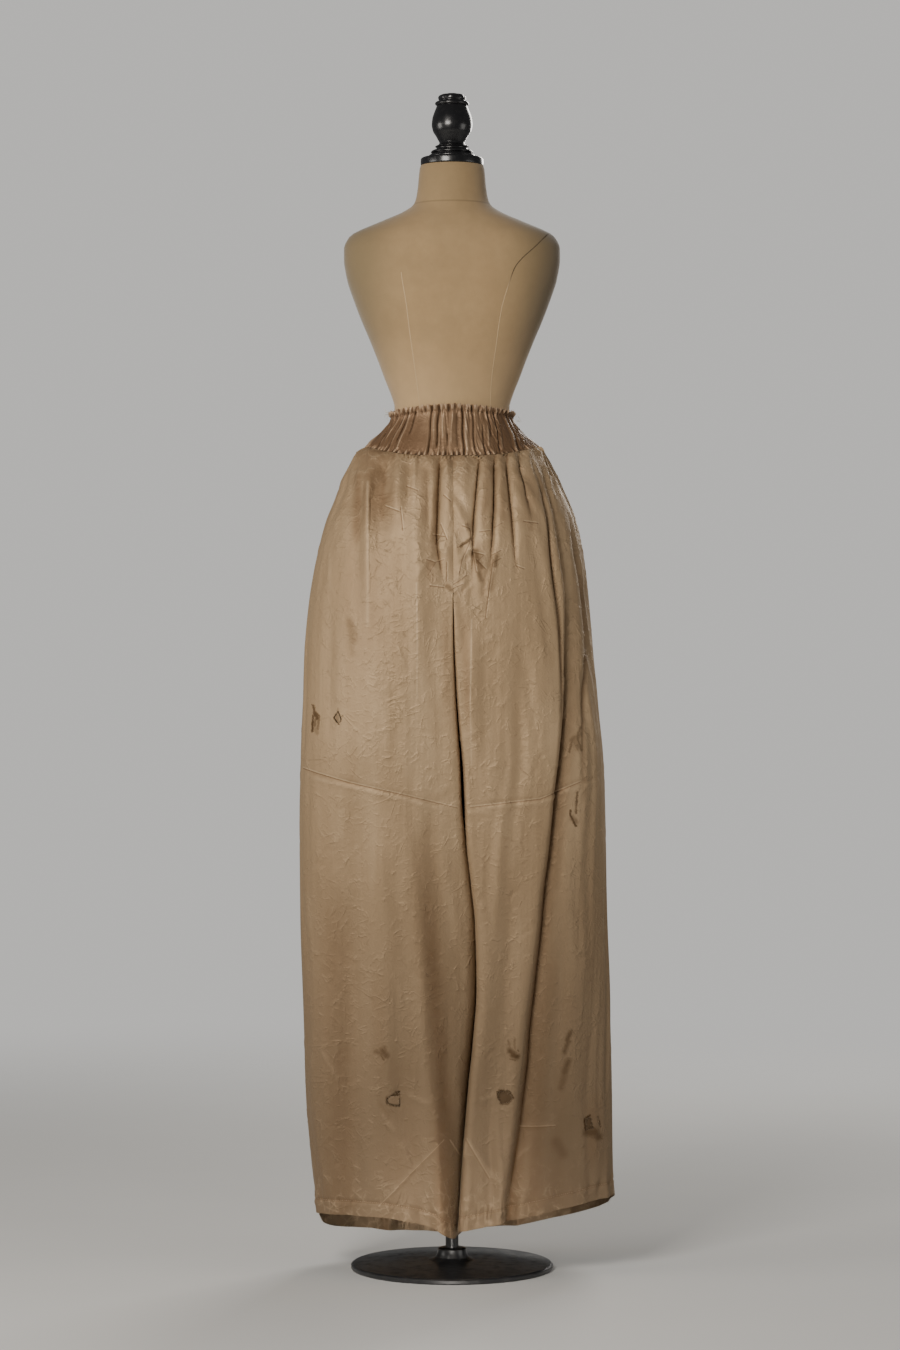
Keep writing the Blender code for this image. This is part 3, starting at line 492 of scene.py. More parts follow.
def column_places(side, face, drop, height):
    """Where the even columns lie across a panel at this height, so that they follow the folds."""
    fine = np.linspace(0.0, 1.0, READ_STEPS)
    x = cross_section(side, face, fine, np.full(READ_STEPS, drop), np.full(READ_STEPS, height))[:, 0]
    places = {0.0: 0.0, float(FACE_COLUMNS): 1.0}
    folds = [each for each in FOLDS[face] if each["course"][0][0] * side > 0]
    folds.sort(key=lambda each: each["course"][-1][1] - each["course"][0][1])
    for each in folds:
        middle, low, high = course_at(height, each["course"])
        hold = float(ease(1 - max(low - height, height - high, 0.0) / COLUMN_FADE))
        for column, offset in each["columns"]:
            known = sorted(places)
            free = float(np.interp(column, known, [places[k] for k in known]))
            near = float(np.interp(side * (middle + offset), (side * x)[::-1], fine[::-1]))
            places[float(column)] = hold * near + (1 - hold) * free
    known = np.array(sorted(places))
    across = np.array([places[k] for k in known])
    least = LEAST_COLUMN * known / FACE_COLUMNS
    across = np.maximum.accumulate(across - least) + least
    return known, across / across[-1]


# %% [markdown]
# The rows of the grid lie closest where the cloth has its finest shapes: the gathers below the waist,
# the old cross crease at knee height and the hem. A panel is L-shaped, because the columns on the
# inside of the leg only begin below the crotch.

# %% The grid of a panel
STEPS_A_COLUMN = 6
INNER_STEPS = 20
CROTCH_SHARE = (SEAM_FRONT - CROTCH) / (SEAM_FRONT - HEM_MEAN)
ROW_PITCH = {
    "height": (0.04, 0.14, 0.16, 0.74, 0.77, 0.87, 0.9, 1.14, 1.2, 1.3, 1.34, 1.4),
    FRONT: (0.003, 0.003, 0.0044, 0.0044, 0.0034, 0.0034, 0.0048, 0.0046, 0.0042, 0.004, 0.003, 0.0024),
    BACK: (0.0032, 0.0032, 0.0062, 0.0062, 0.0038, 0.0038, 0.0066, 0.006, 0.0048, 0.0044, 0.003, 0.0024),
}


def row_shares(face):
    fine = np.linspace(0.0, 1.0, 4001)
    height = SEAM_FRONT + (HEM_MEAN - SEAM_FRONT) * fine
    pitch = np.interp(height, ROW_PITCH["height"], ROW_PITCH[face])
    rows = np.cumsum((SEAM_FRONT - HEM_MEAN) / (len(fine) - 1) / pitch)
    rows -= rows[0]
    shares = np.interp(np.linspace(0, rows[-1], int(rows[-1]) + 1), rows, fine)
    crotch_row = int(np.argmin(np.abs(shares - CROTCH_SHARE)))
    shares[crotch_row] = CROTCH_SHARE
    return shares, crotch_row


def panel_grid(side, face):
    """The unfolded panel: its points and what each needs to know, as arrays of rows and columns."""
    shares, crotch_row = row_shares(face)
    steps = STEPS_A_COLUMN * FACE_COLUMNS
    even = np.linspace(0.0, FACE_COLUMNS, steps + 1)
    column = np.concatenate([even, FACE_COLUMNS + np.arange(1, INNER_STEPS + 1) / INNER_STEPS])
    inner_across = np.arange(1, INNER_STEPS + 1) / INNER_STEPS + 1
    across = np.empty((len(shares), len(column)))
    for row, share in enumerate(shares):
        drop = (SEAM_FRONT - HEM_MEAN) * share
        across[row, : steps + 1] = np.interp(even, *column_places(side, face, drop, SEAM_FRONT - drop))
        across[row, steps + 1:] = inner_across
    share = np.repeat(shares[:, None], len(column), axis=1)
    at_top = np.full(steps + 1, SEAM_FRONT)
    top = cross_section(side, face, across[0, : steps + 1], np.zeros(steps + 1), at_top)
    seam = seam_height(np.concatenate([top[:, 0], np.full(INNER_STEPS, top[-1, 0])]), face)
    seam = np.repeat(seam[None, :], len(shares), axis=0)
    hem_at, hem_height = zip(*HEM[side, face])
    hem = smooth_read(across, hem_at, hem_height)
    below = ease(1 - (share - CROTCH_SHARE) / CROTCH_ROWS)
    fall = CROTCH_FALL * np.sin(np.clip(across - 1, 0, 1) * math.pi / 2) * below
    height = SEAM_FRONT + (HEM_MEAN - SEAM_FRONT) * share
    height += (seam - SEAM_GAP - SEAM_FRONT) * (1 - share) ** EDGE_ROWS
    height += (hem - HEM_MEAN) * share**EDGE_ROWS - fall
    exists = (np.arange(len(shares))[:, None] >= crotch_row) | (np.arange(len(column))[None, :] <= steps)
    points = cross_section(side, face, across, seam - height, height).reshape(*across.shape, 3)
    return {
        "points": points, "across": across, "drop": seam - height, "height": height,
        "above_hem": height - hem, "exists": exists, "column": np.broadcast_to(column, across.shape),
        "crotch_row": crotch_row, "steps": steps,
    }


print("rows:", len(row_shares(FRONT)[0]), "in front,", len(row_shares(BACK)[0]), "behind")

# %% [markdown]
# Low on the legs the front is not one rounded face. On the right leg the cloth turns away along the
# deepest fold and hangs in a flat plane to the side seam. On the left leg it turns away along a ridge
# and drops back towards the gap between the legs. These planes are what makes the broad shade there.

# %% Planes low on the legs
RIDGE_RIGHT = {"height": (0.1, 0.24, 0.345, 0.478, 0.607, 0.748, 0.9),
               "x": (0.083, 0.102, 0.114, 0.128, 0.143, 0.161, 0.178)}
PLANE_SHARE = {"height": (0.1, 0.35, 0.55, 0.75, 0.95), "share": (0.6, 0.62, 0.48, 0.22, 0.0)}
RIDGE_LEFT = {"height": (0.08, 0.224, 0.294, 0.363, 0.486, 0.59, 0.8),
              "x": (-0.016, -0.024, -0.032, -0.041, -0.05, -0.06, -0.085)}
DROP_BACK = {"height": (0.06, 0.25, 0.47, 0.65, 0.85), "depth": (0.02, 0.026, 0.024, 0.011, 0.0)}
HOLLOWS = metres((
    # depth (below 0 a swelling), half width, then points of the course as x and height
    (9, 30, (-186, 660), (-180, 450), (-178, 250), (-180, 80)),
    (-6, 24, (-120, 800), (-112, 500), (-108, 250)),
    (-5, 22, (68, 950), (74, 700), (66, 500), (60, 300)), (5, 18, (110, 1120), (118, 980), (116, 800)),
    (6, 20, (-205, 1160), (-212, 1000), (-206, 860)), (-5, 20, (215, 620), (206, 420), (200, 220)),
))
HOLLOW_FADE = 0.12
LONG_RIPPLE = {"depth": 0.001, "shortest": 0.028, "longest": 0.12}


def drop_back(side, face, flat, across):
    """How far back the planes lie behind the rounded front, at each point."""
    back = np.zeros(across.shape)
    if face == BACK:
        return back
    x, y, height = np.moveaxis(flat, -1, 0)
    if side == LEFT:
        ridge = smooth_read(height, RIDGE_LEFT["height"], RIDGE_LEFT["x"])
        inner = smooth_read(height, MEETING["height"], MEETING["x"])
        turned = np.clip((x - ridge) / (inner - ridge), 0, 1)
        depth = smooth_read(height, DROP_BACK["height"], DROP_BACK["depth"])
        back = depth * turned**1.15 * np.where(across > 1, 2 - across, 1.0)
    if side == RIGHT:
        ridge = smooth_read(height, RIDGE_RIGHT["height"], RIDGE_RIGHT["x"])
        for row in range(len(x)):
            face_y = np.interp(ridge[row, 0], x[row, ::-1], y[row, ::-1])
            edge = 0.997 * x[row, 0]
            share = (x[row] - ridge[row]) / (edge - ridge[row])
            chord = face_y * (1 - share) - 0.02 * share
            inside = (share > 0) & (share < 1) & (across[row] <= 1)
            back[row, inside] = np.maximum(chord - y[row], 0)[inside]
        back *= smooth_read(height, PLANE_SHARE["height"], PLANE_SHARE["share"])
    return back


def hollows(face, flat):
    """The broad shallow hollows and swellings of the front."""
    push = np.zeros(flat.shape[:2])
    for depth, width, *course in HOLLOWS if face == FRONT else ():
        height = flat[..., 2]
        middle, low, high = course_at(height, course)
        ends = ease((height - low) / HOLLOW_FADE + (low < HOLLOW_FADE)) * ease((high - height) / HOLLOW_FADE)
        push += depth * ends * bump_shape(flat[..., 0] - middle, width)
    return push


def long_ripples(grid, arc, seed):
    """Soft ripples that run down the whole length and wander a little."""
    height = grid["height"]
    wander = 0.014 * ripple(height, seed + 4, 0.35, 0.9, 4)
    strong = np.maximum(0.55 + 0.6 * ripple(height + 4 * arc, seed + 5, 0.25, 0.7, 4), 0)
    wave = ripple(arc + wander, seed + 6, LONG_RIPPLE["shortest"], LONG_RIPPLE["longest"], 7)
    return LONG_RIPPLE["depth"] * wave * strong * ease(grid["drop"] / 0.05) * (grid["across"] <= 1)

# %% [markdown]
# ## Creases
#
# Satin remembers every fold it was ever pressed into. An old cross crease runs round both legs at knee
# height, long diagonal ones rise from the hems, and star-shaped puckers sit around the crotch. Each is
# a thin ridge or trough along a few points. They are drawn on the cloth as if it lay flat: one measure
# runs round the leg from the inner corner, the other is the height.

# %% Creases given one by one
FRONT_CREASES = metres((
    # height of the ridge (below 0 a trough), half width, then points as x and height
    (-1.2, 3.6, (-250, 851), (-169, 829), (-86, 811), (-25, 794), (9, 788)),
    (0.9, 4, (-250, 844), (-169, 822), (-86, 804), (-25, 787), (9, 781)),
    (-1.1, 3.6, (30, 789), (80, 797.5), (146, 802.5), (214, 830), (250, 841)),
    (0.8, 4, (30, 782), (80, 790.5), (146, 795.5), (214, 823), (250, 834)),
    (1.4, 3.4, (-13.4, 235.6), (-45, 204), (-84, 163), (-122.8, 122.9)),
    (-0.8, 4, (-17.4, 228.6), (-49, 197), (-88, 156), (-125.8, 117.9)),
    (1.3, 3.4, (-3.4, 234), (4, 221), (13.2, 207)), (1.4, 3.4, (24.8, 237.3), (44, 205), (62.9, 171)),
    (1, 3.4, (30, 233), (55, 190), (84.4, 154.4)), (1.1, 3, (112.6, 255.6), (140, 258), (172.3, 256)),
    (-0.9, 3, (112.6, 251), (140, 252), (172.3, 250.6)),
    (1.1, 3, (43, 298.6), (60, 307), (79.5, 311.8)),
    (1.3, 3, (107.6, 199.1), (117, 212), (129.2, 220.7)),
    (1.2, 3.4, (-77, 313), (-50, 300), (-30, 296)), (1.2, 3.4, (-118, 282), (-104, 262), (-94, 246)),
    (-1, 3.4, (-124, 300), (-112, 283), (-100, 262)), (1, 3.4, (-225, 390), (-205, 352), (-196, 330)),
    (1.1, 3.2, (20, 1148), (28, 1152), (36, 1160)),
    (-1.2, 3.2, (-10, 1147), (4, 1143), (16, 1147), (30, 1158)),
    (1.2, 3.2, (0, 1151), (14, 1154), (26, 1168)), (1.4, 3.4, (40, 1206), (52, 1196), (60, 1180)),
    (-1.4, 3.4, (36, 1200), (46, 1186), (50, 1166)), (1.3, 3.4, (38, 1220), (20, 1209), (10, 1197)),
    (-1.2, 3.4, (40, 1212), (24, 1202), (16, 1188)), (1.2, 3.4, (52, 1232), (66, 1236), (78, 1236)),
    (1.2, 3.4, (82, 1230), (74, 1243), (70, 1252)),
    (-1.2, 3.4, (64, 1204), (58, 1180), (52, 1150), (50, 1130)),
    (1.2, 3.4, (74, 1206), (70, 1184), (62, 1160)), (1.2, 3.4, (18, 1196), (12, 1180), (8, 1160)),
    (1.1, 3.4, (-40, 1196), (-52, 1182), (-58, 1164)), (-1, 3.4, (-40, 1194), (-34, 1180)),
    (1.1, 3.4, (-22, 1232), (-12, 1216), (-4, 1206)), (1, 3.4, (-46, 1226), (-28, 1222), (-14, 1214)),
    (1.1, 3.4, (118, 1248), (134, 1246), (146, 1240)), (-1.1, 3.4, (126, 1252), (138, 1250)),
    (1, 3.4, (46, 1058), (60, 1066), (72, 1070)), (1.1, 3.4, (40, 1036), (52, 1040), (60, 1046)),
    (0.9, 3, (102, 1062), (122, 1060)), (1, 3.4, (-92, 1062), (-84, 1040), (-76, 1018)),
    (1, 3.4, (-44, 1064), (-30, 1056), (-14, 1060)),
    (1.1, 3.4, (-172, 1110), (-162, 1096), (-156, 1078)),
    (-1.1, 3.4, (-170, 1100), (-160, 1084), (-158, 1060)),
    (1, 3.4, (-206, 1230), (-204, 1200), (-204, 1160), (-196, 1140)),
    (1, 3.4, (205, 1066), (222, 1074), (238, 1086)), (1.1, 3.4, (222, 1036), (234, 1052), (242, 1070)),
))
STARS = 54  # knots of small creases on each panel
CREASES_A_STAR = (3, 6)
STRAYS = 170  # single small creases on each panel
SMALL_CREASE = {"length": (0.012, 0.065), "lift": (0.0003, 0.0012), "width": (0.0024, 0.0038)}
print("creases by hand:", len(FRONT_CREASES))


def crease_lift(u, height, lift, width, course):
    """What one crease adds, where course holds points as (u, height)."""
    reach = 3.2 * width
    course = np.asarray(course)
    low, high = course.min(axis=0) - reach, course.max(axis=0) + reach
    near = (u > low[0]) & (u < high[0]) & (height > low[1]) & (height < high[1])
    added = np.zeros_like(u)
    if not near.any():
        return added
    place = np.column_stack([u[near], height[near]])
    steps = np.diff(course, axis=0)
    lengths = np.hypot(*steps.T)
    total = lengths.sum()
    gap = np.full(len(place), 1e9)
    run = np.zeros(len(place))
    start = 0.0
    for first, step, length in zip(course[:-1], steps, lengths):
        t = np.clip(((place - first) @ step) / length**2, 0.0, 1.0)
        away = np.hypot(*(place - first - t[:, None] * step).T)
        closer = away < gap
        gap[closer] = away[closer]
        run[closer] = start + t[closer] * length
        start += length
    fade = ease(run / (0.25 * total)) * ease((total - run) / (0.25 * total)) + 0.15
    shape = 0.3 * bump_shape(gap, width) + 0.7 * np.exp(-gap / (0.55 * width))
    added[near] = lift * shape * np.minimum(fade, 1.0)
    return added


def small_creases(seed, u_range, height_range):
    """Stars of short creases, and single ones between them."""
    draw = np.random.default_rng(seed)
    made = []
    for knot in range(STARS + STRAYS):
        u, height = draw.uniform(*u_range), draw.uniform(*height_range)
        rays = draw.integers(*CREASES_A_STAR) if knot < STARS else 1
        turn = draw.uniform(0, 2 * math.pi)
        for ray in range(rays):
            angle = turn + 2 * math.pi * ray / rays + draw.uniform(-0.5, 0.5)
            length = draw.uniform(*SMALL_CREASE["length"]) * (0.6 if rays > 1 else 1.0)
            bend = draw.uniform(-0.5, 0.5)
            course = [(u, height)]
            for heading in (angle, angle + bend):
                x, z = course[-1]
                course.append((x + 0.5 * length * math.cos(heading), z + 0.5 * length * math.sin(heading)))
            lift = draw.uniform(*SMALL_CREASE["lift"]) * draw.choice((-1, 1))
            made.append((lift, draw.uniform(*SMALL_CREASE["width"]), *course))
    return made


# %% [markdown]
# The silk is also darker in long soft bands: beside the gathers, along the deepest folds, down the
# inner edges and on the planes low on the legs. Along the folds, down the inner edges and on the
# planes turned from the lamp this is painted shade; beside the gathers it is partly painted shade
# and partly browning of the silk. They are drawn like the creases, and the finish reads them from the
# cloth's points.

# %% Bands of painted shade and browning
SHADES = {
    # strength, half width, then points as x and height
    FRONT: (
        (0.66, 10, (-158, 1390), (-160, 1300), (-164, 1200)),
        (0.74, 10, (-114, 1390), (-118, 1320), (-120, 1235)),
        (0.62, 38, (-124, 1460), (-126, 1360), (-124, 1215)),
        (0.4, 60, (-10, 1430), (-10, 1370), (-10, 1320)),
        (0.36, 34, (66, 1450), (70, 1360), (74, 1300)),
        (0.22, 50, (-130, 1300), (-130, 1150), (-130, 950)),
        (0.34, 11, (-46, 1390), (-45, 1320), (-42, 1230)),
        (0.46, 7, (-24, 1385), (-28, 1300), (-32, 1220), (-24, 1160)),
        (0.3, 10, (58, 1390), (56, 1320), (50, 1240)), (0.34, 10, (82, 1390), (85, 1320), (86, 1230)),
        (0.28, 14, (118, 1380), (126, 1320), (132, 1230)),
        (0.42, 9, (36, 1240), (42, 1205), (46, 1160)), (0.34, 9, (-36, 1210), (-36, 1185), (-32, 1150)),
        (0.4, 8, (19, 1150), (22, 1050), (28, 880)), (0.26, 9, (-12, 1150), (-10, 1050), (-6, 900)),
        (0.22, 14, (-150, 1180), (-150, 1080), (-146, 960)),
        (0.6, 18, (-52, 800), (-38, 600), (-24, 420), (-14, 250), (-10, 20)),
        (0.34, 34, (-200, 780), (-195, 600), (-190, 300), (-190, 20)),
        (0.2, 16, (-128, 560), (-120, 400), (-118, 280)),
        (0.92, 4.2, (155, 1390), (181, 1270), (195, 1185), (200, 1137), (197, 970), (188, 884),
            (180, 826), (173, 768), (166, 710), (157, 652), (151, 594), (144, 536), (137, 478),
            (130, 420), (126, 362), (119, 304), (112, 245), (104, 188), (86, 20)),
        (0.42, 11, (190, 1290), (203, 1190), (208, 1137), (205, 970), (188, 826), (174, 710), (159, 594),
            (145, 478), (134, 362), (120, 245), (94, 20)),
        (0.75, 2.2, (-18, 1450), (-23, 1298), (-25, 1232), (-18, 1182), (-10, 1120)),
        (0.75, 2.2, (52, 1450), (41, 1315), (35, 1248), (33, 1130)),
        (0.8, 2.2, (74, 1450), (71, 1298), (68, 1248), (63, 1150)),
        (0.85, 2.2, (88, 1450), (98, 1298), (102, 1248), (107, 1160)),
        (0.65, 2, (106, 1430), (121, 1330), (131, 1282), (138, 1230)),
        (0.85, 3, (133, 1420), (160, 1283), (169, 1185), (181, 1083), (184, 970), (180, 840)),
        (0.1, 40, (222, 700), (208, 520), (192, 400), (182, 280), (174, 20)),
        (0.14, 45, (-85, 480), (-80, 250), (-75, 20)),
        (0.4, 20, (170, 700), (158, 500), (142, 300), (136, 20)),
        (0.22, 18, (190, 470), (186, 380), (172, 200), (170, 20)),
        (0.26, 14, (240, 330), (238, 260), (236, 160)),
        (0.6, 3.4, (190, 1320), (206, 1262), (218, 1200), (228, 1137), (231, 1061), (225, 970),
            (221, 870), (220, 740)),
    ),
    BACK: (
        (0.3, 14, (-150, 1370), (-160, 1280), (-166, 1180)),
        (0.32, 12, (-66, 1400), (-76, 1300), (-82, 1180)),
        (0.34, 10, (-22, 1390), (-32, 1300), (-36, 1180)),
        (0.32, 10, (26, 1395), (33, 1300), (38, 1180)), (0.3, 14, (66, 1395), (80, 1290), (87, 1160)),
        (0.3, 14, (150, 1370), (164, 1270), (170, 1180)),
        (0.5, 9, (-140, 1290), (-158, 1120), (-164, 960), (-158, 760), (-146, 560), (-132, 360),
            (-116, 20)),
        (0.5, 9, (140, 1290), (166, 1100), (174, 940), (168, 740), (154, 540), (136, 340), (120, 20)),
        (0.3, 18, (-20, 700), (-12, 400), (-8, 20)), (0.3, 18, (50, 700), (50, 400), (36, 20)),
    ),
}
SHADE_FADE = 0.35  # as a share of the band's height
TO_FLOOR = 0.05  # a band that starts below this height runs out past the hem


def shade_and_browning(face, flat):
    """How much painted shade and browning the silk has at each point, from 0 to 1."""
    total = np.zeros(flat.shape[:2])
    height = flat[..., 2]
    for strength, *lengths in SHADES[face]:
        width, *course = metres(lengths)
        middle, low, high = course_at(height, course)
        fade = SHADE_FADE * (high - low)
        ends = ease((high - height) / fade) * (1.0 if low < TO_FLOOR else ease((height - low) / fade))
        total = np.maximum(total, strength * ends * bump_shape(flat[..., 0] - middle, width))
    return total


print("browned bands:", len(SHADES[FRONT]), "in front,", len(SHADES[BACK]), "behind")

# %% [markdown]
# ## Building a leg panel
#
# The cloth is pushed in along the level normals of the unfolded form for the large folds and gathers,
# as in the solids, and then along the folded surface's own normals for the creases, the puckers at the
# seams and the turned hem. The inner skin follows at the cloth's thickness, so each panel is a closed
# thin sheet.

# %% Gathers, puckers and hem
GATHER_DEPTH = 0.003
GATHER_FADE = 0.055
GATHER_START = 0.008
FINE_GATHER = {"depth": 0.0015, "shortest": 0.006, "longest": 0.016, "fade": 0.026}
PUCKER = {"depth": 0.0022, "shortest": 0.005, "longest": 0.015, "fade": 0.009}
HEM_DEPTH = 0.024  # the turning inside the hem
HEM_PUCKER = {"depth": 0.0012, "shortest": 0.006, "longest": 0.04}
SEAM_GROOVE = {"depth": 0.0012, "width": 0.0035}
HAND_LIFT = 1.7  # the listed creases stand this much higher than their table says
SMALL_SHOWS = 0.4  # small creases show less in the painted highlight and shade
FULL_CREASE = 0.002  # full painted highlight on a ridge this high, full painted shade in a trough this deep
INSIDE_SOFT = 0.7  # creases are softer on the inside of the leg
EDGE_LIFT = 0.3


def puckers(grid, arc, seed):
    """Pinched cloth just below the waist seam."""
    pinch = ripple(arc, seed + 1, PUCKER["shortest"], PUCKER["longest"], 9)
    return pinch * np.exp(-grid["drop"] / PUCKER["fade"])


def waist_gathers(grid, arc, seed):
    """Small gathers below the waist seam: the regular ones of the solids and finer, uneven ones."""
    drop = grid["drop"]
    wave = np.cos(math.pi * grid["column"]) * np.exp(-drop / GATHER_FADE)
    push = GATHER_DEPTH * wave * (grid["across"] <= 1) * ease(drop / GATHER_START + 0.35)
    uneven = ripple(arc, seed, FINE_GATHER["shortest"], FINE_GATHER["longest"], 9)
    push += FINE_GATHER["depth"] * uneven * np.exp(-drop / FINE_GATHER["fade"])
    return push + PUCKER["depth"] * puckers(grid, arc, seed)


def hem_relief(grid, arc, seed):
    """The turned hem stands out by one layer, with a pinched stitch line at its top."""
    above = grid["above_hem"]
    turning = 0.0005 * ease((HEM_DEPTH - above) / 0.003)
    stitch = -0.0013 * bump_shape(above - HEM_DEPTH, 0.0026)
    pinch = ripple(arc, seed + 2, HEM_PUCKER["shortest"], HEM_PUCKER["longest"], 9)
    drag = HEM_PUCKER["depth"] * pinch * bump_shape(above - HEM_DEPTH, 0.011)
    flare = 0.0022 * ripple(arc, seed + 3, 0.03, 0.12) * ease(1 - above / 0.06)
    return turning + stitch + drag + flare


def seam_safe(normals, grid, side):
    """Turns the normals on a panel's edges so that its wall stays on its own side of each seam."""
    across = grid["across"][grid["exists"]]
    row = np.broadcast_to(np.arange(len(grid["across"]))[:, None], grid["across"].shape)[grid["exists"]]
    normals[(across == 1) & (row < grid["crotch_row"]), 0] = 0.0
    normals[(across == 0) | (across == 2), 1] = 0.0
    normals[(across > 1) & (row == grid["crotch_row"])] = (-side, 0.0, 0.0)
    normals[row == 0, 2] = 0.0
    return unit(normals)


def read_face(grid, points, values, x, height):
    """Reads values on the face of a panel at an x and a height."""
    face = slice(grid["steps"] + 1)
    row = int(np.argmin(np.abs(grid["height"][:, grid["steps"] // 2] - height)))
    xs = points[row, face, 0]
    order = np.argsort(xs)
    return float(np.interp(x, xs[order], values[row, face][order]))


def leg_panel(name, side, face, seed):
    grid = panel_grid(side, face)
    exists = grid["exists"]
    quads = quads_of(exists)
    if side * face > 0:
        quads = quads[:, ::-1]
    flat = grid["points"]
    step = np.hypot(np.diff(flat[..., 0], axis=1), np.diff(flat[..., 1], axis=1))
    arc = np.hstack([np.zeros((len(flat), 1)), np.cumsum(step, axis=1)])
    u = arc[:, [grid["steps"]]] - arc  # from the inner corner towards the side seam
    facing = point_normals(flat[exists], quads)
    facing[:, 2] = 0.0
    facing = unit(facing)
    above = grid["drop"] < SEAM_FRONT - CROTCH
    held = ease(grid["across"] / SIDE_FLAT) * ease((1.0 - grid["across"]) / CENTRE_FLAT + above)
    push = fold_depth(flat[..., 0], flat[..., 2], face) * held * ease(grid["drop"] / SEAM_FLAT + 0.15)
    push += waist_gathers(grid, arc, seed)
    push += (hollows(face, flat) + long_ripples(grid, arc, seed)) * held
    flat_points = flat[exists]
    outer = flat_points - facing * push[exists][:, None]
    outer[:, 1] += drop_back(side, face, flat, grid["across"])[exists]
    across = grid["across"][exists]
    crossed = (across > 0.9) & (side * outer[:, 0] < side * flat_points[:, 0])
    outer[crossed, 0] = flat_points[crossed, 0]

    lift = hem_relief(grid, arc, seed)
    centre = (grid["across"] <= 1) & above
    for away, where in ((arc, 1.0), (u, centre)):
        lift -= SEAM_GROOVE["depth"] * bump_shape(away, SEAM_GROOVE["width"]) * where
    # creased keeps the creases' heights, for the painted highlight on their ridges and shade in their
    # troughs
    creased = np.zeros_like(lift)
    for height, width, *course in small_creases(seed + 7, (-0.1, u.max()), (HEM_MEAN, SEAM_FRONT - 0.02)):
        creased += crease_lift(u, grid["height"], height, width, course)
    lift += creased
    creased *= SMALL_SHOWS
    for height, width, *course in FRONT_CREASES if face == FRONT else ():
        if side * sum(x for x, _ in course) > 0:
            placed = [(read_face(grid, flat, u, x, z), z) for x, z in course]
            drawn = crease_lift(u, grid["height"], HAND_LIFT * height, width, placed)
            lift += drawn
            creased += drawn
    creased -= PUCKER["depth"] * puckers(grid, arc, seed)
    lift *= 1 - INSIDE_SOFT * ease(np.clip(grid["across"] - 1, 0, 1) * 4)
    lift[:, 0] *= EDGE_LIFT
    normals = point_normals(outer, quads)
    outer = outer + seam_safe(normals.copy(), grid, side) * lift[exists][:, None]
    normals = seam_safe(point_normals(outer, quads), grid, side)
    outer[:, 1] += face * np.where((across == 0) | (across == 2), SEAM_GAP / 2, 0.0)
    piece = thin_shell(name, outer, outer - CLOTH * normals, quads)
    # crease: painted highlight on ridges and painted shade in troughs; the bands: painted shade and some
    # browning
    marks = {
        "crease": np.clip(creased / FULL_CREASE, -1, 1), "shade_and_browning": shade_and_browning(face, flat),
        "above_hem": grid["above_hem"],
    }
    mark_points(piece, {label: np.tile(values[exists], 2) for label, values in marks.items()})
    corner = outer[quads]
    doubled = np.linalg.norm(np.cross(corner[:, 2] - corner[:, 0], corner[:, 3] - corner[:, 1]), axis=1)
    print(name, "cloth area", round(doubled.sum() / 2, 4), "m2, triangles", 2 * len(piece.data.polygons))
    sewn = np.full((*exists.shape, 3), np.nan)
    sewn[exists] = outer
    grid["sewn"] = sewn
    return piece, grid


# %% Cut and sew the four panels
PANELS = {
    # name: side, face, seed, node
    "leg_left_front": (LEFT, FRONT, 11, "left_front"),
    "leg_right_front": (RIGHT, FRONT, 23, "right_front"),
    "leg_left_back": (LEFT, BACK, 37, "left_back"),
    "leg_right_back": (RIGHT, BACK, 53, "right_back"),
}
panels, grids = {}, {}
for name, (side, face, seed, node) in PANELS.items():
    panels[name], grids[name] = leg_panel(name, side, face, seed)

# %% [markdown]
# ## Rips
#
# Three holes and three slits go right through the front panels. A ragged outline is pushed straight
# through the cloth as a prism and cut out with a Boolean, which leaves a real hole with real edges.
# Where only the threads have parted, the cut is a narrow slit that follows a line, and the flap stays.

# %% Outlines of the rips
RIP_NEAR, RIP_FAR = -0.3, -0.03
RAGGED_STEP = 0.0012
RAGGED = 0.00045
HOLES = metres({
    # outlines as x and height
    "leg_right_front": (
        ((75, 314), (79.5, 317), (92.5, 317.2), (97, 315), (101.5, 304.5), (94, 296.8), (81, 295.5),
            (76.5, 303.5)),
        ((223.5, 261), (230, 265.5), (234, 262.5), (236, 254), (238.5, 245), (225.5, 244)),
    ),
    "leg_left_front": (
        ((-102.5, 308.5), (-93.5, 316), (-86.5, 317.5), (-87, 309)),
    ),
})
SLITS = metres({
    # half width, then points of the line as x and height
    "leg_right_front": (
        (0.7, (245.5, 264), (247, 257), (249.5, 248)),
    ),
    "leg_left_front": (
        (1, (-103.5, 307.5), (-108.5, 303), (-106.8, 297.5), (-102, 294.2), (-93, 293), (-87.8, 291.8),
            (-86.8, 296), (-87, 304.5)),
        (0.8, (-184.2, 930.5), (-184, 935.2), (-189.5, 948), (-196.2, 937.2), (-192.8, 931.5),
            (-187.8, 926.5)),
    ),
})
POINTED = 0.3  # a slit's ends, as a share of its width


def ragged_outline(outline, seed):
    """The outline with more points, each a little off its line."""
    draw = np.random.default_rng(seed)
    points = np.array(outline)
    made = []
    for first, second in zip(points, np.roll(points, -1, axis=0)):
        away = second - first
        steps = max(int(np.hypot(*away) / RAGGED_STEP), 1)
        across = np.array((-away[1], away[0])) / np.hypot(*away)
        for step in range(steps):
            made.append(first + away * step / steps + across * draw.uniform(-RAGGED, RAGGED))
    return np.array(made)


def slit_outline(half_width, line):
    """A narrow outline round a line, pointed at both ends."""
    line = np.array(line)
    run = unit(np.gradient(line, axis=0))
    across = np.column_stack([-run[:, 1], run[:, 0]]) * half_width
    across[[0, -1]] *= POINTED
    return np.vstack([line + across, (line - across)[::-1]])


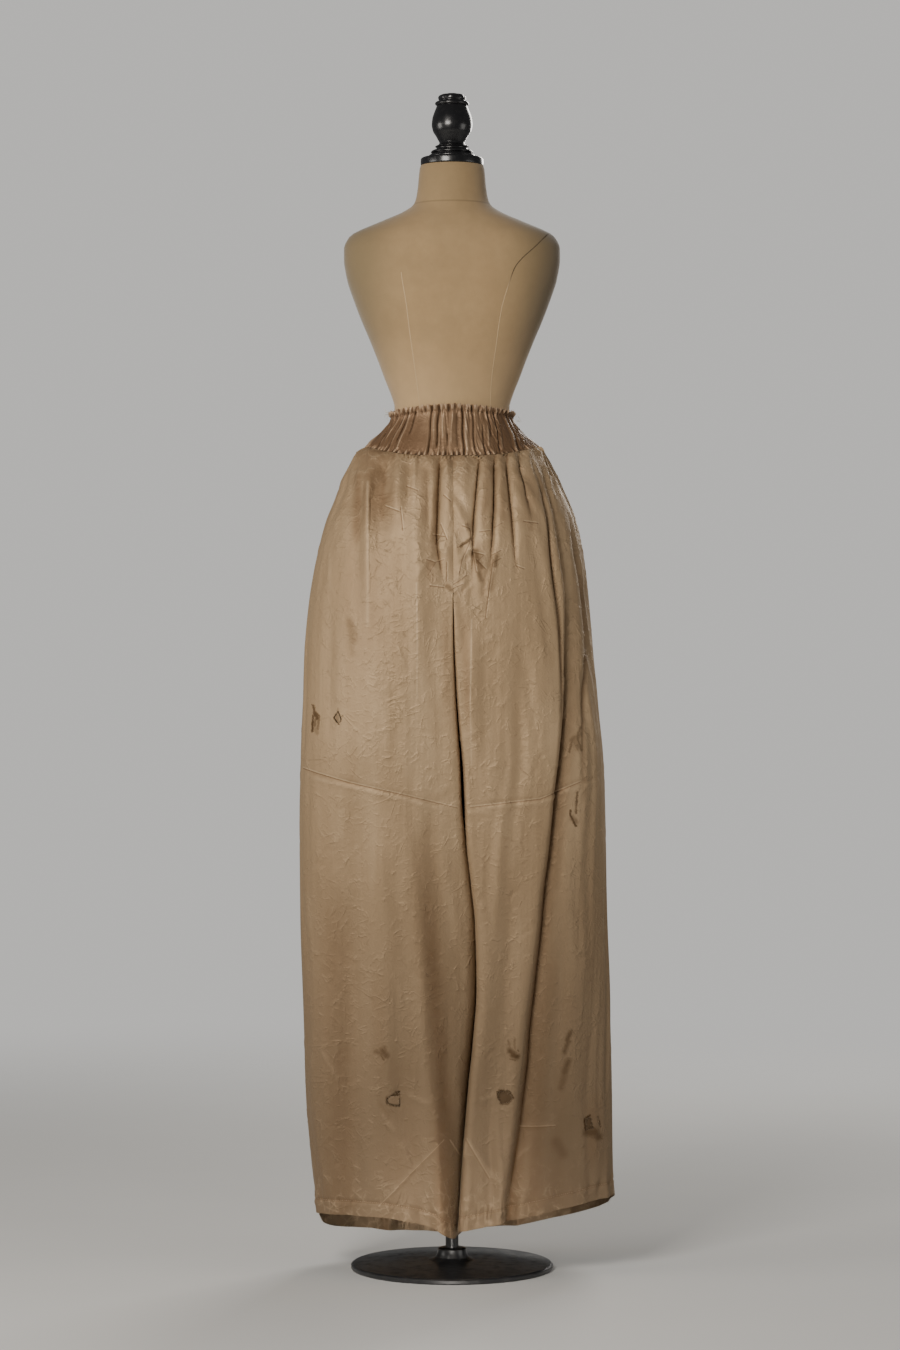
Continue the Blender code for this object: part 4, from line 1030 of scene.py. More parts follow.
def prism(outline):
    """Points and faces of a prism through the cloth, with its faces pointing out."""
    turned = np.roll(outline, -1, axis=0)
    area = (outline[:, 0] * turned[:, 1] - turned[:, 0] * outline[:, 1]).sum()
    if area < 0:
        outline = outline[::-1]
    count = len(outline)
    near = np.column_stack([outline[:, 0], np.full(count, RIP_NEAR), outline[:, 1]])
    far = near + (0.0, RIP_FAR - RIP_NEAR, 0.0)
    ring = np.arange(count)
    after = np.roll(ring, -1)
    faces = [ring.tolist(), (ring[::-1] + count).tolist()]
    faces += np.column_stack([ring, ring + count, after + count, after]).tolist()
    return np.vstack([near, far]), faces


def cut_rips(piece, outlines):
    knife = mesh_piece(f"{piece.name}_knife", *joined(prism(outline) for outline in outlines))
    cut = piece.modifiers.new("rips", "BOOLEAN")
    cut.operation = "DIFFERENCE"
    cut.solver = "MANIFOLD"
    cut.object = knife
    settled = piece.evaluated_get(bpy.context.evaluated_depsgraph_get())
    mesh = bpy.data.meshes.new_from_object(settled)
    piece.modifiers.clear()
    piece.data = mesh
    bpy.data.objects.remove(knife, do_unlink=True)


rip_edges = {}
for name in HOLES:
    holes = [ragged_outline(outline, 5 + k) for k, outline in enumerate(HOLES[name])]
    slits = [slit_outline(width, line) for width, *line in SLITS[name]]
    cut_rips(panels[name], holes + slits)
    rip_edges[name] = holes + slits
    print(name, "rips:", len(holes), "holes and", len(slits), "slits")

# %% [markdown]
# ## Threads and stitches
#
# Thread is too fine to be more than a hair of light at this distance, but it is what makes an edge look
# torn and a hem look sewn. Each thread or stitch is a short tube of four sides, and all of one kind are
# joined in one mesh.

# %% Many short tubes in one mesh
THIN_END = 0.6
DIP = 0.6  # how far a stitch's ends dip in, as a share of its lift


def tubes(name, courses, radius, sides=4):
    """Joined tubes along short lists of points, each thinner towards its ends."""
    parts = []
    around = np.linspace(0, 2 * math.pi, sides, endpoint=False)
    for course in courses:
        course = np.asarray(course, float)
        run = unit(np.gradient(course, axis=0))
        guide = (0.0, 0.0, 1.0) if abs(run[0, 2]) < 0.8 else (1.0, 0.0, 0.0)
        one = unit(np.cross(run, guide))
        other = np.cross(run, one)
        thick = np.full(len(course), radius)
        thick[[0, -1]] *= THIN_END
        ring = one[:, None] * np.cos(around)[None, :, None] + other[:, None] * np.sin(around)[None, :, None]
        place = np.arange(len(course) * sides).reshape(len(course), sides)
        after = np.roll(place, -1, axis=1)
        walls = np.stack([place[:-1], place[1:], after[1:], after[:-1]], axis=-1).reshape(-1, 4)
        faces = walls.tolist() + [place[0].tolist(), place[-1][::-1].tolist()]
        parts.append(((course[:, None] + ring * thick[:, None, None]).reshape(-1, 3), faces))
    return mesh_piece(name, *joined(parts), 80.0)


def even_points(path, pitch):
    """Points at an even pitch along a path, and the run of the path there."""
    length = np.concatenate([[0.0], np.cumsum(np.linalg.norm(np.diff(path, axis=0), axis=1))])
    at = np.arange(pitch / 2, length[-1] - pitch / 2, pitch)

    def read(at):
        return np.column_stack([np.interp(at, length, path[:, k]) for k in range(3)])

    points = read(at)
    return points, unit(read(at + 1e-3) - points)


def stitch_courses(path, stitch):
    """Short stitches that dip into the cloth at both ends. The cloth's centre is on the z axis."""
    points, run = even_points(path, stitch["pitch"])
    out = np.cross(run, (0.0, 0.0, 1.0))
    out[(out * points).sum(axis=1) < 0] *= -1
    out = unit(out) * stitch["lift"]
    half = run * stitch["length"] / 2
    return list(np.stack([points - half - out * DIP, points + out, points + half - out * DIP], axis=1))


# %% Hem stitches
STITCH = {"pitch": 0.004, "length": 0.0028, "lift": 0.00022, "radius": 0.00022}


def hem_line(grid):
    """The line where a hem is stitched, on the finished cloth."""
    sewn, above = grid["sewn"], grid["above_hem"]
    line = []
    for column in range(sewn.shape[1]):
        rows = np.arange(len(sewn) - 30, len(sewn))
        heights = above[rows, column][::-1]
        line.append([np.interp(HEM_DEPTH, heights, sewn[rows, column, k][::-1]) for k in range(3)])
    return np.array(line)


hem_stitches = []
for name, grid in grids.items():
    hem_stitches += stitch_courses(hem_line(grid), STITCH)
hem_thread = tubes("hem_stitches", hem_stitches, STITCH["radius"])
print("hem stitches:", len(hem_stitches))


# %% [markdown]
# Torn silk frays: the crosswise threads fall out and the long ones hang free. From points on each rip's
# edge, and along the lower edge of the back hems, thin threads wander off with a little curl.

# %% Frayed threads
FRAY = {"pitch": 0.0011, "length": (0.0012, 0.0042), "radius": 0.00011}


def surface_y(grid, x, height):
    """How far forward the finished cloth stands at an x and a height."""
    return read_face(grid, grid["sewn"], grid["sewn"][..., 1], x, height)


def fray_round(outline, grid, seed):
    """Threads from a rip's edge towards its middle and down."""
    draw = np.random.default_rng(seed)
    middle = outline.mean(axis=0)
    made = []
    for first, second in zip(outline, np.roll(outline, -1, axis=0)):
        for _ in range(max(int(np.hypot(*(second - first)) / FRAY["pitch"]), 1)):
            start = first + (second - first) * draw.uniform()
            inward = (middle - start) / max(np.hypot(*(middle - start)), 1e-6)
            heading = 0.6 * inward + draw.uniform(-0.6, 0.6, 2) + (0.0, -0.25)
            length = draw.uniform(*FRAY["length"])
            course = start + np.outer((-0.2, 0.5, 1.0), heading * length)
            course[2, 1] -= 0.3 * length
            forward = surface_y(grid, *start) + np.array((0.0, -0.0006, draw.uniform(-0.0012, 0.001)))
            made.append(np.column_stack([course[:, 0], forward, course[:, 1]]))
    return made


def fray_below(grid, seed, pitch=0.003):
    """Short loose threads along the lower edge of a panel."""
    draw = np.random.default_rng(seed)
    points, run = even_points(grid["sewn"][-1, : grid["steps"] + 1], pitch)
    made = []
    for point, along_edge in zip(points, run):
        length = draw.uniform(0.001, 0.0045) * draw.choice((0.5, 1.0))
        sway = along_edge * draw.uniform(-1, 1) * length * 0.5
        middle = point + sway * 0.5 - (0, 0, length * 0.5)
        made.append([point + (0, 0, 0.0006), middle, point + sway - (0, 0, length)])
    return made


frays = []
for name, edges in rip_edges.items():
    for number, outline in enumerate(edges):
        frays += fray_round(outline, grids[name], 71 + number)
for name in ("leg_left_back", "leg_right_back"):
    frays += fray_below(grids[name], 91)
frayed_threads = tubes("frayed_threads", frays, FRAY["radius"], sides=3)
print("frayed threads:", len(frays))

# %% [markdown]
# Behind the holes the photograph shows brown cloth and no depth: a torn layer that clings to the
# inside. Each is a small ragged sheet that follows the panel just behind it.

# %% Torn cloth behind the holes
TORN_LAYERS = (
    # panel, left, right, top, bottom, how far behind, how much narrower at the bottom
    ("leg_right_front", 0.2206, 0.243, 0.268, 0.241, 0.0026, 0.2),
    ("leg_right_front", 0.0725, 0.104, 0.3195, 0.293, 0.0026, 0.15),
    ("leg_left_front", -0.112, -0.083, 0.321, 0.2895, 0.0026, 0.0),
)


def torn_layers():
    """Ragged sheets behind the holes, joined in one piece."""
    parts = []
    for number, (panel, left, right, top, bottom, behind, narrow) in enumerate(TORN_LAYERS):
        draw = np.random.default_rng(17 + number)
        s, t = np.meshgrid(np.linspace(0, 1, 15), np.linspace(0, 1, 17))
        x = left + (right - left) * (0.5 + (s - 0.5) * (1 - narrow * t)) + 0.0008 * np.sin(9 * t)
        z = top + (bottom - top) * t + 0.0008 * draw.uniform(-1, 1, s.shape) * (t > 0.95)
        y = np.vectorize(lambda a, b: surface_y(grids[panel], a, b))(x, z)
        y += behind + 0.0008 * np.sin(7 * s + 3 * t)
        quads = quads_of(np.ones(s.shape, bool))[:, ::-1]
        parts.append((np.stack([x, y, z], axis=-1).reshape(-1, 3), quads))
    outer, quads = joined(parts)
    return thin_shell("torn_layers", outer, outer + (0.0, 0.0007, 0.0), np.array(quads))


torn = torn_layers()
print("torn layer faces:", len(torn.data.polygons))

# %% [markdown]
# ## Waistband
#
# The casing holds an elastic, so its cloth is crushed into sharp, uneven gathers with smooth stretches
# between them, and its cut top edge stands up as a small ruffle. The ring starts from the solid's table
# and gets grooves along listed lines in front and seeded random ones round the rest.

# %% Sizes of the waistband
BAND = {
    "rise": (0.0, 0.22, 0.55, 0.86, 1.0),
    "left": (0.145, 0.1325, 0.1145, 0.1035, 0.1055),
    "right": (0.146, 0.1315, 0.114, 0.1035, 0.1065),
    "front": (0.118, 0.1115, 0.0985, 0.0895, 0.0915),
    "back": (0.12, 0.1135, 0.1, 0.0903, 0.0925),
    "gather": (0.0022, 0.0026, 0.0026, 0.0012, 0.0024),
}
BAND_GATHERS = 40
BAND_COLUMNS = 760
BAND_ROWS = 34
CASING_TOP = 0.885  # share of the rise where the ruffle starts
BAND_CLOTH = 0.0012
DEEPEST = -0.0031  # the form is this near behind the cloth
FRONT_GROOVES = (
    # in mm: x at the waist seam, x at the top, depth (below 0 a ridge), half width; then from and to, as
    # shares of the rise
    (-128, -88, 3, 2.2, 0, 1), (-119, -82, -1.8, 2, 0, 1), (-110, -76, 2.8, 1.8, 0, 1),
    (-101, -70, 2.2, 1.6, 0.2, 1), (-93, -66, -2, 1.8, 0, 1), (-83, -58, 2.6, 1.8, 0.35, 1),
    (-40, -33, 3, 1.4, 0, 1), (-34, -27, -1.8, 1.6, 0, 0.9), (-27, -21, 2.6, 1.4, 0.1, 1),
    (-15, -14, -1.6, 3, 0.3, 1), (-10, -6, 1.4, 1.4, 0, 0.5), (-3, 2, -1.4, 1.8, 0.2, 1),
    (9, 8, 1.8, 4, 0.1, 0.9), (20.5, 16.5, 3.1, 1.3, 0, 1), (26, 22.5, -1.8, 2.2, 0, 1),
    (39, 33.5, 3, 1.3, 0, 1), (48, 40, -1.2, 1.8, 0.4, 1), (56, 48, 2.4, 1.4, 0, 0.7),
    (64, 55, -1.8, 1.6, 0.1, 1), (70, 60, 2, 1.4, 0.3, 1), (82, 69, 3.1, 1.3, 0, 1),
    (87, 73.5, -1.4, 1.6, 0, 1), (109, 85, -2.2, 2, 0, 0.9), (115, 89, 3, 1.8, 0, 1),
    (126, 95, -2, 2, 0, 1),
)
SMOOTH_STRETCHES = ((-0.062, 0.018), (0.012, 0.009), (0.034, 0.006), (0.094, 0.011))  # x, half width
REST_GROOVES = 38
GROOVE_FADE = 0.12
BAND_RADIUS = 0.11  # the casing's mean radius, which turns an angle into a length


def band_wave(turn):
    """Uneven gathers round the waistband, from -1 to 1."""
    phase = BAND_GATHERS * turn + 1.1 * np.sin(3 * turn + 0.7) + 0.9 * np.sin(7 * turn + 2.1)
    return np.sin(phase) * (0.78 + 0.22 * np.sin(5 * turn + 1.0))


def groove(away, depth, width, inside):
    """A sharp groove or ridge with its cloth pushed up beside it."""
    sharp = np.exp(-np.abs(away) / width)
    beside = 0.35 * bump_shape(np.abs(away) - 2.6 * width, 1.3 * width)
    return depth * inside * (beside - sharp)


def groove_span(rise, start, end):
    """Fades a groove in and out, or lets it run on at the casing's edges."""
    lower = ease((rise - start) / GROOVE_FADE + 0.5 * (start == 0))
    return lower * ease((end - rise) / GROOVE_FADE + 0.5 * (end == 1))


def ring_quads(rows, columns):
    row, column = np.meshgrid(np.arange(rows - 1), np.arange(columns), indexing="ij")
    after = (column + 1) % columns
    low, high = row * columns, (row + 1) * columns
    return np.stack([low + column, low + after, high + after, high + column], axis=-1).reshape(-1, 4)


# %% Shape of the waistband
def band_grooves(turn, rise, half_width):
    """All grooves of the casing, as a push outwards."""
    draw = np.random.default_rng(131)
    x = half_width * np.cos(turn)
    in_front = np.sin(turn) < 0
    push = np.zeros_like(x)
    for *lengths, start, end in FRONT_GROOVES:
        low_x, high_x, depth, width = metres(lengths)
        middle = low_x + (high_x - low_x) * rise + 0.0008 * np.sin(9 * rise + 40 * low_x)
        slope = np.sqrt(np.maximum(1 - (middle / half_width) ** 2, 0.09))
        push += groove((x - middle) / slope, depth, width, groove_span(rise, start, end) * in_front)
    for number in range(REST_GROOVES):
        centre = math.pi * (number + draw.uniform(0.15, 0.85)) / REST_GROOVES * 1.16 - 0.08 * math.pi
        lean = draw.uniform(-0.03, 0.03)
        depth = draw.uniform(0.0014, 0.003) * draw.choice((1, 1, -0.7))
        width = draw.uniform(0.0012, 0.0024)
        start, end = draw.choice((0.0, 0.0, 0.3)), draw.choice((1.0, 1.0, 0.7))
        away = (np.mod(turn - centre - lean * rise + math.pi, 2 * math.pi) - math.pi) * BAND_RADIUS
        push += groove(away, depth, width, groove_span(rise, start, end))
    return push


def smooth_places(x, in_front):
    """1 where the casing lies in a smooth stretch."""
    flat = np.zeros_like(x)
    for middle, half in SMOOTH_STRETCHES:
        flat = np.maximum(flat, ease((half - np.abs(x - middle)) / 0.006 + 0.5) * in_front)
    return flat


def waistband():
    turn = np.linspace(0.0, 2 * math.pi, BAND_COLUMNS, endpoint=False)[None, :]
    share = np.linspace(0.0, 1.0, BAND_ROWS)
    rise = (share + 0.055 * np.sin(2 * math.pi * share))[:, None]
    left, right, front, back, gather = (smooth_read(rise, BAND["rise"], v) for v in list(BAND.values())[1:])
    half_width = np.where(np.cos(turn) < 0, left, right)
    depth = np.where(np.sin(turn) < 0, front, back)
    x, y = half_width * np.cos(turn), depth * np.sin(turn)
    away = unit(np.stack([np.cos(turn) / half_width, np.sin(turn) / depth], axis=-1))
    seam_x = np.where(np.cos(turn) < 0, BAND["left"][0], BAND["right"][0]) * np.cos(turn)
    low = np.where(np.sin(turn) < 0, seam_height(seam_x, FRONT), seam_height(seam_x, BACK))
    high = BAND_TOP_SIDE + (BAND_TOP_FRONT - BAND_TOP_SIDE) * np.sin(turn) ** 2
    z = low + (high - low) * rise
    around = turn * BAND_RADIUS + 0 * rise
    flat = smooth_places(x, np.sin(turn) < 0)
    heading = ease((rise - CASING_TOP) / 0.05)
    push = 0.22 * gather * band_wave(turn) * (1 - 0.75 * flat) * (1 - heading)
    push += band_grooves(turn + 0 * rise, rise + 0 * turn, half_width) * (1 - 0.4 * heading)
    push -= 0.001 * bump_shape(rise - CASING_TOP, 0.028)
    push += 0.0012 * ripple(around, 141, 0.0055, 0.0105, 9) * bump_shape(rise - CASING_TOP - 0.01, 0.035)
    push += heading * (0.0008 + 0.0019 * ripple(around, 143, 0.0075, 0.015, 6))
    seam_pucker = ripple(around, 145, 0.005, 0.011, 9) * bump_shape(rise, 0.07)
    push += 0.0017 * seam_pucker
    push += 0.0005 * ripple(around + 0.01 * rise, 147, 0.0035, 0.009, 9) * (1 - flat)
    for side_turn in (0.0, math.pi):  # the lump of seam allowance at each side
        lump = np.cos((turn - side_turn) / 2) ** 600 if side_turn == 0 else np.sin(turn / 2) ** 600
        push += lump * 0.0036 * bump_shape(rise - 0.17, 0.14)
    push = np.maximum(push, DEEPEST)
    frill = 0.0016 * ripple(around, 149, 0.007, 0.014, 6) + 0.0006 * ripple(around, 151, 0.003, 0.006, 6)
    z = z + heading * rise**4 * frill
    z = z + 0.0006 * ripple(around, 153, 0.006, 0.012, 7) * bump_shape(rise - 0.07, 0.05)
    outer = np.stack([x + away[..., 0] * push, y + away[..., 1] * push, z], axis=-1)
    inner = outer - np.concatenate([away * BAND_CLOTH, np.zeros((*z.shape, 1))], axis=-1)
    skins = outer.reshape(-1, 3), inner.reshape(-1, 3)
    piece = thin_shell("gathered_waistband", *skins, ring_quads(BAND_ROWS, BAND_COLUMNS))
    # light and shade of the gathers, for the finish to paint: ridges and the top edge light, grooves dark
    gather_light_and_shade = push / 0.0024 + 0.6 * heading * (rise > 0.97) + 0.6 * seam_pucker
    mark_points(piece, {"gather_light_and_shade": np.tile(np.clip(gather_light_and_shade, -1, 1).ravel(), 2)})
    return piece, outer, rise[:, 0]


band, band_points, band_rise = waistband()
print("waistband faces:", len(band.data.polygons))

# %% Stitches and loose threads of the waistband
BAND_STITCH = {"pitch": 0.0034, "length": 0.0024, "lift": 0.0003, "radius": 0.00022}
LOOSE_ENDS = metres((
    # start on the band as x, y, height; then steps to the next points
    ((-106.5, -30, 1450), (-4, -2, 2), (-3, 0, 4), (-1, 0, 3)),
    ((-106.2, -28, 1449.2), (-5, -2, -1), (-2, 0, 3), (2, 0, 2)),
    ((-106.8, -26, 1447.5), (-3, -2, -3), (0, 0, -4), (2, 0, -2)),
    ((-106.4, -24, 1448), (-5, 0, 1), (-3, 0, -2), (0, 0, -4)),
    ((107, -30, 1444), (4, -2, 2), (2, 0, -2), (1, 0, -3)),
    ((108.2, -26, 1440), (4, -1, -1), (3, 0, 1), (2, 0, -3)),
    ((108.8, -20, 1437), (3, -1, 1), (3, 0, -1), (1, 0, -2)),
))


def band_line(share):
    """A closed line round the waistband at this share of its rise."""
    row = int(np.argmin(np.abs(band_rise - share)))
    return np.vstack([band_points[row], band_points[row, :1]])


band_courses = []
for share in (CASING_TOP, 0.03):
    band_courses += stitch_courses(band_line(share), BAND_STITCH)
band_thread = tubes("waistband_stitches", band_courses, BAND_STITCH["radius"])
loose_courses = [np.cumsum(np.array(steps), axis=0) for steps in LOOSE_ENDS]
loose_ends = tubes("loose_thread_ends", loose_courses, 0.00045)


def heading_fray(seed):
    """Short threads along the cut top edge."""
    draw = np.random.default_rng(seed)
    points, run = even_points(band_line(1.0), 0.0024)
    made = []
    for point, along_edge in zip(points, run):
        length = draw.uniform(0.0008, 0.003)
        sway = along_edge * draw.uniform(-1, 1) * length
        lean = np.array((point[0], point[1], 0.0)) * draw.uniform(-0.004, 0.012)
        middle = point + sway * 0.4 + (0, 0, length * 0.6)
        made.append([point - (0, 0, 0.0005), middle, point + sway + lean + (0, 0, length)])
    return made


heading_threads = tubes("heading_frays", heading_fray(161), 0.00012, sides=3)
print("waistband stitches:", len(band_courses), "loose ends:", len(LOOSE_ENDS))

# %% [markdown]
# ## The form
#
# The form is a padded body covered in jersey. Its cover is sewn from long panels, so thin seams run
# down from the armholes to the waist, along the sides, down the middle of the back and round the neck.
# The body is lofted from level rings with superellipse outlines, and the seams lie on it as flat cords.

# %% The form's body
FORM = {
    "height": (1.176, 1.182, 1.2, 1.24, 1.28, 1.33, 1.37, 1.4, 1.43, 1.445, 1.462, 1.484,
               1.51, 1.544, 1.578, 1.612, 1.646, 1.68, 1.714, 1.731, 1.748, 1.756, 1.765, 1.773,
               1.782, 1.79, 1.799, 1.807, 1.833, 1.868, 1.8734),
    "half_width": (0.164, 0.171, 0.172, 0.171, 0.166, 0.15, 0.133, 0.118, 0.1035, 0.0995,
                   0.0978, 0.1037, 0.114, 0.1267, 0.1403, 0.1547, 0.1675, 0.1785, 0.1836, 0.1836,
                   0.177, 0.169, 0.151, 0.132, 0.111, 0.0918, 0.0756, 0.0646, 0.0586, 0.055, 0.0535),
    "front": (0.131, 0.138, 0.139, 0.137, 0.131, 0.119, 0.106, 0.096, 0.0875, 0.0855, 0.084, 0.086,
              0.091, 0.097, 0.102, 0.105, 0.106, 0.102, 0.094, 0.09, 0.085, 0.082, 0.078, 0.074,
              0.07, 0.066, 0.063, 0.061, 0.056, 0.053, 0.0515),
    "back": (0.145, 0.152, 0.154, 0.153, 0.147, 0.131, 0.112, 0.099, 0.089, 0.0865, 0.085, 0.086,
             0.088, 0.091, 0.094, 0.097, 0.1, 0.101, 0.1, 0.098, 0.094, 0.091, 0.086, 0.081,
             0.075, 0.069, 0.065, 0.062, 0.057, 0.054, 0.0525),
    "roundness": (2.3, 2.3, 2.3, 2.3, 2.25, 2.15, 2.05, 2.0, 2.0, 2.0, 2.0, 2.0,
                  2.05, 2.1, 2.2, 2.3, 2.4, 2.6, 2.8, 2.8, 2.6, 2.5, 2.4, 2.3,
                  2.2, 2.1, 2.0, 2.0, 2.0, 2.0, 2.0),
}
FORM_SIDES = 160
FORM_PITCH = 0.0058
NECK_SEAM = 1.807


def form_measure(height, face):
    """Half width, depth and roundness of the form at a height."""
    names = ("half_width", "front" if face == FRONT else "back", "roundness")
    return [smooth_read(height, FORM["height"], FORM[name]) for name in names]


def closed_body(name, rings, sharp_angle=60.0):
    """A closed solid through rings with the same number of points, from the bottom up."""
    sides = len(rings[0])
    quads = ring_quads(len(rings), sides).tolist()
    ends = [list(range(sides))[::-1], list(range((len(rings) - 1) * sides, len(rings) * sides))]
    return mesh_piece(name, np.vstack(rings), quads + ends, sharp_angle)


def form_rings():
    table = FORM["height"]
    heights = np.arange(table[1], table[-2], FORM_PITCH)
    ends = table[:2], np.linspace(table[0], table[1], 5), table[-2:]
    heights = np.unique(np.concatenate([heights, *ends]))
    turn = np.linspace(0, 2 * math.pi, FORM_SIDES, endpoint=False)
    rings = []
    for height in heights:
        half_width, front, roundness = form_measure(height, FRONT)
        back = form_measure(height, BACK)[1]
        power = 2.0 / roundness
        x = half_width * np.sign(np.cos(turn)) * np.abs(np.cos(turn)) ** power
        y = np.where(np.sin(turn) < 0, front, back) * np.sign(np.sin(turn)) * np.abs(np.sin(turn)) ** power
        neck = 1 + 0.012 * bump_shape(height - NECK_SEAM, 0.0045)
        rings.append(np.column_stack([x * neck, y * neck, np.full(FORM_SIDES, height)]))
    return rings


form = closed_body("covered_form", form_rings())
print("form faces:", len(form.data.polygons))

# %% The form's seams
FORM_SEAMS = (
    # face, then points as x and height, in mm
    (FRONT, (-85, 1682), (-82.5, 1664), (-77.5, 1636), (-70.5, 1580), (-62, 1520), (-55.5, 1470),
        (-53, 1440)),
    (FRONT, (162, 1752), (140, 1728), (117, 1706), (105, 1690), (96, 1665), (83, 1620), (74, 1560),
        (66, 1495), (64, 1440)),
    (BACK, (0, 1804), (0, 1700), (0, 1600), (0, 1500), (0, 1440)),
    (BACK, (-150, 1735), (-115, 1690), (-95, 1620), (-76, 1540), (-65, 1440)),
    (BACK, (150, 1735), (115, 1690), (95, 1620), (76, 1540), (65, 1440)),
)
SEAM_STEPS = 90
SEAM_HALF_WIDTH = 0.001
SEAM_LIFT = 0.00045


def on_form(face, x, height):
    """The point on the form's surface at an x and a height, and its level normal."""
    half_width, depth, roundness = form_measure(height, face)
    share = np.minimum(np.abs(x) / half_width, 0.999)
    y = face * depth * (1 - share**roundness) ** (1 / roundness)
    out_x = np.sign(x) * share ** (roundness - 1) / half_width
    out_y = y * np.abs(y) ** (roundness - 2) / depth**roundness
    return y, unit(np.stack([out_x, out_y], axis=-1))


def seam_strip(points, normals):
    """A low rounded strip along a line on the form."""
    across = unit(np.cross(unit(np.gradient(points, axis=0)), normals))
    shape = ((-1.0, -0.6), (-0.6, 0.5), (0.0, 1.0), (0.6, 0.5), (1.0, -0.6), (0.0, -1.2))
    rings = [points + across * SEAM_HALF_WIDTH * a + normals * SEAM_LIFT * b for a, b in shape]
    return np.stack(rings, axis=1)


def form_seams():
    parts = []
    for face, *course in FORM_SEAMS:
        course = metres(course)
        fine = np.linspace(course[0][1], course[-1][1], SEAM_STEPS)
        x = course_at(fine, course)[0]
        y, level = on_form(face, x, fine)
        strip = seam_strip(np.column_stack([x, y, fine]), np.column_stack([level, np.zeros(len(level))]))
        rows, sides = strip.shape[:2]
        ends = [np.arange(sides)[::-1], np.arange(sides) + (rows - 1) * sides]
        parts.append((strip.reshape(-1, 3), [*ring_quads(rows, sides), *ends]))
    return mesh_piece("form_cover_seams", *joined(parts), 80.0)


cover_seams = form_seams()
print("form seams:", len(FORM_SEAMS))

# %% [markdown]
# ## Turned pieces and the stand
#
# The neck cap and the finial come off a lathe: beads, coves and one long bulb, one above the other. Each
# is a stretch of the profile with its end radii and how far it bulges between them. The crown on top is
# cut into eight lobes. The stand is a plain iron pole on a round foot.

# %% Profiles
LATHE_SIDES = 96
CROWN_LOBES = 8
CAP_TURNING = metres((
    # from height, to height, from radius, to radius, bulge
    (0, 1.2, 52, 53, 0), (1.2, 11, 53, 53, 0.3), (11, 12.8, 53, 51.2, 0.3),
))
FINIAL_TURNING = metres((
    (0, 6.2, 36.5, 34.2, 4.6), (6.2, 8, 33.6, 33, 0), (8, 13.8, 33, 28.5, 4.7),
    (13.8, 19, 27.6, 28.4, -1.6), (19, 20.4, 28.4, 27, 0.8), (20.4, 26.5, 26.2, 21.5, -1.4),
))
BULB = {"height": (0.0265, 0.037, 0.046, 0.056, 0.067, 0.078, 0.0895),
        "radius": (0.0215, 0.0272, 0.0325, 0.0345, 0.0335, 0.03, 0.0255)}
COLLAR_TURNING = metres((
    (89.5, 95.8, 25.8, 25.2, 3.4), (95.8, 98.2, 23.2, 22.2, -0.6),
))
CROWN = {"height": (0.0982, 0.1005, 0.103, 0.1052, 0.107, 0.1078, 0.1082, 0.1092, 0.11),
         "radius": (0.0222, 0.0234, 0.0236, 0.0226, 0.0205, 0.0175, 0.012, 0.0105, 0.006),
         "lobes": (0.0, 0.0006, 0.0012, 0.0014, 0.0014, 0.0012, 0.0006, 0.0, 0.0)}


def turning(stretches):
    """A profile as radius and height, with round beads and coves."""
    profile = []
    for low, high, first, last, bulge in stretches:
        t = np.linspace(0, 1, 9 if bulge else 2)
        bend = (1 - np.cos(math.pi * t)) / 2 if bulge > 0 else t
        radius = first + (last - first) * bend + bulge * np.sin(math.pi * t)
        profile += list(zip(radius, low + (high - low) * bend))
    return np.array(profile)


def from_table(table, count):
    height = np.linspace(table["height"][0], table["height"][-1], count)
    return np.column_stack([smooth_read(height, table["height"], table["radius"]), height])


def turned(name, profile, floor, lobes=None, sharp_angle=50.0):
    turn = np.linspace(0, 2 * math.pi, LATHE_SIDES, endpoint=False)
    rings = []
    for number, (radius, height) in enumerate(profile):
        lobe = 0.0 if lobes is None else lobes[number]
        round_here = radius + lobe * (np.abs(np.cos(CROWN_LOBES * turn / 2)) - 1)
        level = np.full(LATHE_SIDES, floor + height)
        rings.append(np.column_stack([round_here * np.cos(turn), round_here * np.sin(turn), level]))
    return closed_body(name, rings, sharp_angle)


# %% Turn them
neck_top = FORM["height"][-1]
cap_floor = neck_top + SEAM_GAP
finial_floor = cap_floor + CAP_TURNING[-1][1] + SEAM_GAP
crown = from_table(CROWN, 26)
finial_profile = np.vstack([turning(FINIAL_TURNING), from_table(BULB, 30), turning(COLLAR_TURNING), crown])
crown_lobes = np.zeros(len(finial_profile))
crown_lobes[-len(crown):] = smooth_read(crown[:, 1], CROWN["height"], CROWN["lobes"])
cap = turned("lacquered_neck_cap", turning(CAP_TURNING), cap_floor)
finial = turned("lacquered_finial", finial_profile, finial_floor, crown_lobes)
POLE_RADIUS = 0.011
FOOT_TURNING = metres((
    (0, 2, 170, 171.5, 0), (2, 6.5, 171.5, 171.5, 0), (6.5, 9.5, 171.5, 168, 0.6),
    (9.5, 12.5, 168, 120, 0), (12.5, 15, 120, 40, 0), (15, 20, 40, 28, -2.2), (20, 33, 28, 24, -0.6),
    (33, 35, 24, 22, 0),
))
foot_top = FOOT_TURNING[-1][1]
pole_length = FORM["height"][0] - foot_top - 2 * SEAM_GAP
foot = turned("iron_foot", turning(FOOT_TURNING), 0.0)
pole = turned("iron_pole", ((POLE_RADIUS, 0.0), (POLE_RADIUS, pole_length)), foot_top + SEAM_GAP)
print("finial rings:", len(finial_profile), "pole length:", round(pole_length, 3), "m")
